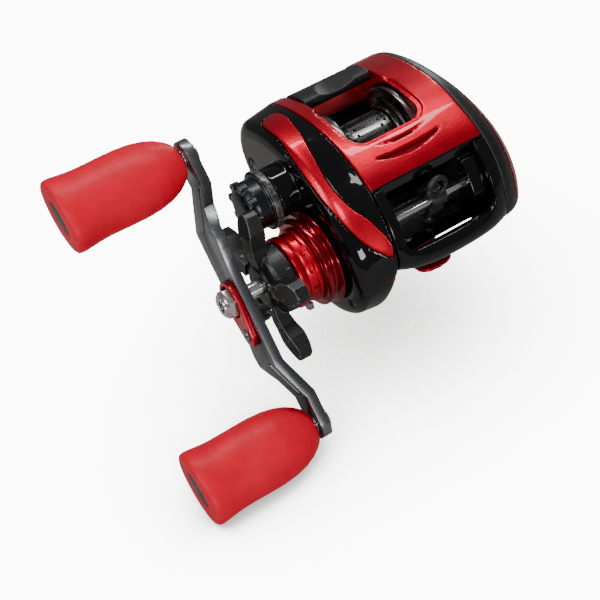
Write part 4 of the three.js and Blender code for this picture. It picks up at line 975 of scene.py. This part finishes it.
# %% Nut, retainer and screws
def retainer():
    outline = arc(0, 0, 6.6, -90, 90, 24) + arc(SCREW_AT, 0, 4, 90, 270, 24)
    holes = [disc(-70, -50, 5.4), put(disc(-70, -50, 1.5, steps=24), RETAINER_SCREW)]
    drilled = cut(plate(outline, HUB_FACE - 1.8, HUB_FACE - 0.3), *holes)
    return put(break_edges(drilled, 0.25, 28, flat=True), HANDLE)


def nut():
    hexagon = disc(-66, HUB_FACE - 0.3, 5.1, 2.8, 6)
    crown = turned([(-66.6, 0), (-66.6, 3.2), (-64.6, 5.2), (-60, 5.2), (-60, 0)])
    body = join(keep(hexagon, crown), disc(-66.4, -65.6, 3.4, 2, 48))
    return put(break_edges(body, 0.22, 28), HANDLE)


def slotted_screw(x, deep, place):
    head = turned([(x, 0), (x, 1.5), (x + 0.35, 2), (x + 1, 2), (x + 1, 1.05), (x + deep, 1.05),
                   (x + deep, 0)], 48)
    return put(break_edges(cut(head, block([x - 1, -0.3, -3], [x + 0.4, 0.3, 3])), 0.08, 40), place)


finished("crank_plate", retainer(), "retainer_plate")
finished("crank_nut", nut(), "handle_nut")
screw_head = turned([(-63.6, 0), (-63.6, 1.8), (-63.3, 2.1), (-63.2, 2.1), (-63.2, 0.8), (-58.8, 0.8),
                     (-58.8, 0)], 48)
screw_head = cut(screw_head, block([-64, -0.25, -3], [-63.4, 0.25, 3]))
finished("plate_screw", put(screw_head, HANDLE @ RETAINER_SCREW), "retainer_screw")
for i, (y, z) in enumerate(COVER_SCREWS):
    finished(f"case_screw_{i + 1}", slotted_screw(-30.3, 15, moved(0, y, z)),
             f"cover_screw_{i + 1}")
shaft_profile = [(-64.6, 0), (-64.6, 1.8), (-61.4, 1.8), (-61.2, 2.6), (-12.4, 2.6), (-12.4, 0)]
finished("crank_shaft", put(break_edges(turned(shaft_profile, 48), 0.2), ON_SHAFT), "main_shaft")

# %% [markdown]
# ## Knobs
# The grips are paddles: a lathe profile pressed flat, narrow and blunt near the handle, with a slight
# waist before the flared end. A shallow oval seat in the end holds a dark cap. Each spins on its own
# little shaft.

# %% Knobs
KNOB_START = ARM_FACE - 0.8
KNOB_LENGTH = 41
KNOB_TURN = -18
GRIP = [(0, 4.2), (0.008, 5.2), (0.02, 5.9), (0.06, 7.4), (0.12, 9), (0.2, 10.3), (0.3, 11.2),
        (0.42, 11.6), (0.54, 11.6), (0.65, 11.5), (0.74, 11.5), (0.82, 11.7), (0.9, 12.1), (0.95, 12.3),
        (0.985, 12.1), (1, 11.2)]


def knob_place(end):
    return HANDLE @ moved(0, HANDLE_REACH * end, 0) @ roll(KNOB_TURN)


def grip():
    end = KNOB_START - KNOB_LENGTH
    profile = [(KNOB_START, 0)] + [(KNOB_START - t * KNOB_LENGTH, r) for t, r in GRIP] + [(end, 0)]
    body = put(turned(profile, 96), Matrix.Diagonal((1, 1, 0.7, 1)))
    oval = Matrix.Diagonal((1, 5.9, 3.1, 1))
    seat = put(disc(-1, 1, 1, steps=96), moved(end, 0, 0) @ oval)
    return cut(body, seat, disc(end + 2.7, KNOB_START + 1, 2.4, steps=48))


def grip_cap():
    cap = put(break_edges(disc(-0.35, 0.35, 1, steps=96), 0.05), Matrix.Diagonal((1, 5.6, 2.8, 1)))
    return put(cap, moved(KNOB_START - KNOB_LENGTH + 0.35, 0, 0))


def grip_axle():
    foot_x = ARM_FACE + ARM_THICK
    tip_x = KNOB_START - KNOB_LENGTH + 3
    axle = turned([(tip_x, 0), (tip_x, 2.1), (foot_x + 1.2, 2.1), (foot_x + 1.2, 0)], 48)
    collars = [disc(foot_x + 0.3, foot_x + 1.2, 3.2), disc(ARM_FACE - 0.5, ARM_FACE - 0.3, 3.2)]
    return break_edges(join(axle, *collars), 0.05)


for number, end in ((1, 1), (2, -1)):
    place = knob_place(end)
    moulded = put(cast(grip(), 0.3, passes=6, share=0.6), place)
    finished(f"grip_{number}", moulded, f"knob_{number}", smooth=70)
    finished(f"grip_cap_{number}", put(grip_cap(), place), f"knob_cap_{number}")
    finished(f"grip_axle_{number}", put(grip_axle(), place), f"knob_shaft_{number}")

# %% [markdown]
# ## Cast control
# A small cap beside the star sets how freely the spool runs. Its outer end has eight fins for the
# fingers, and a mottled carbon ring sits between it and the cover.

# %% Cast control
def cast_cap():
    cap = turned([(-47.2, 0), (-47.2, 3.4), (-47, 4.6), (-46.6, 5.8), (-46, 6.8), (-45.2, 7.6),
                  (-44.4, 8), (-43.6, 8.2), (-40.2, 8.2), (-39.9, 9), (-38.2, 9), (-38.2, 5.2),
                  (-43.4, 5.2), (-43.4, 0)])
    fins = [put(plate([(0, -2.4), (8.4, -1.2), (8.9, 0), (8.4, 1.2), (0, 2.4)], -46.2, -43.6), roll(45 * i))
            for i in range(8)]
    return put(cast(join(cap, *fins), 0.12, passes=4, share=0.4), ON_SPOOL)


finished("cast_cap", cast_cap(), "cast_control_cap", smooth=60)
ring_profile = [(-39.6, 9.4), (-39.6, 9.8), (-37.5, 9.8), (-37.1, 9.2), (-37.1, 5.8), (-37.9, 5.8),
                (-37.9, 9.4), (-39.6, 9.4)]
finished("cast_ring", put(break_edges(turned(ring_profile), 0.1), ON_SPOOL), "cast_control_ring")

# %% [markdown]
# ## Level wind
# The line guide rides on a worm inside a slotted guard and on a bright rod across the mouth, so that the
# line winds evenly.

# %% Level wind
GUIDE_AT = 3.5
ROD = (-31.7, 23.4)


def line_guide():
    worm_y, worm_z = (c / MM for c in WORM_CENTRE.yz)
    outlines = [arc(worm_y, worm_z, 4.6, 0, 360, 48)[:-1], arc(*ROD, 2.4, 0, 360, 32)[:-1],
                [(-29, 26.6), (-33.6, 25.4), (-31, 20.4), (-24, 18)]]
    parts = [plate(outline, -2.6, 2.6) for outline in outlines]
    carriage = cut(join(*parts), put(disc(-10, 10, 3.4), ON_WORM),
                   put(disc(-10, 10, 1.35, steps=32), moved(0, *ROD)),
                   put(put(disc(-8, -2, 1.2, steps=32), ALONG_Z), ON_WORM))
    wire, reach = 0.95, 3
    angles = [2 * math.pi * i / 20 for i in range(21)]
    eye = put(turned([(wire * math.cos(a), reach + wire * math.sin(a)) for a in angles]), ALONG_Y)
    eye = put(eye, moved(0, -32.4, 28.2))
    return put(join(break_edges(carriage, 0.3, 30), eye), moved(GUIDE_AT, 0, 0))


finished("guide_carriage", line_guide(), "line_guide")
finished("guide_bar", put(break_edges(disc(-15.2, 17, 1.05, steps=32), 0.1), moved(0, *ROD)), "guide_rod")
guard = cut(disc(-12.5, 13.8, 3.1, 2.3, 64), block([-11.5, -1.3, -5], [12.4, 1.3, 0]))
finished("worm_tube", put(break_edges(guard, 0.1, 40), ON_WORM), "worm_guard")

# %% [markdown]
# The floor is a plain pale sheet just under the lowest knob, with the faint mottle of paper. It glows for
# the eye alone, so that it looks evenly lit, and the glow is dimmed by ambient occlusion where the reel
# stands over it: a painted soft shadow.

# %% Floor
floor_mesh = bmesh.new()
bmesh.ops.create_grid(floor_mesh, x_segments=1, y_segments=1, size=3)
floor_data = bpy.data.meshes.new("floor")
floor_mesh.to_mesh(floor_data)
floor = bpy.data.objects.new("floor", floor_data)
floor.location.z = CAD_BOX[0].z - 0.2 * MM
bpy.context.scene.collection.objects.link(floor)
paper = Finish("paper", (0.4, 0.4, 0.39), 0.7, Specular_IOR_Level=0.1)
paper.shader.inputs["Emission Color"].default_value = (1, 0.985, 0.97, 1)
seen = paper.node("ShaderNodeLightPath").outputs["Is Camera Ray"]
# ambient occlusion dims the floor's glow under the reel: this is a painted shadow, not one cast by the lamps
painted_shadow_ao = paper.node("ShaderNodeAmbientOcclusion", {"Distance": 0.07}, samples=8).outputs["AO"]
shade = paper.node("ShaderNodeMapRange", {"Value": painted_shadow_ao, "From Min": 0.45, "From Max": 1.0, "To Min": 0.6,
                                          "To Max": 11.0}).outputs["Result"]
glow = paper.node("ShaderNodeMath", {0: seen, 1: shade}, operation="MULTIPLY")
paper.to("Emission Strength", glow.outputs[0])
mottle = paper.ramp(paper.noise(30), 0, 1)
paper.to("Base Color", paper.blend(mottle, (0.39, 0.385, 0.38), (0.42, 0.415, 0.41)))
floor_data.materials.append(paper.material)
print("floor at", round(floor.location.z / MM, 1), "mm")
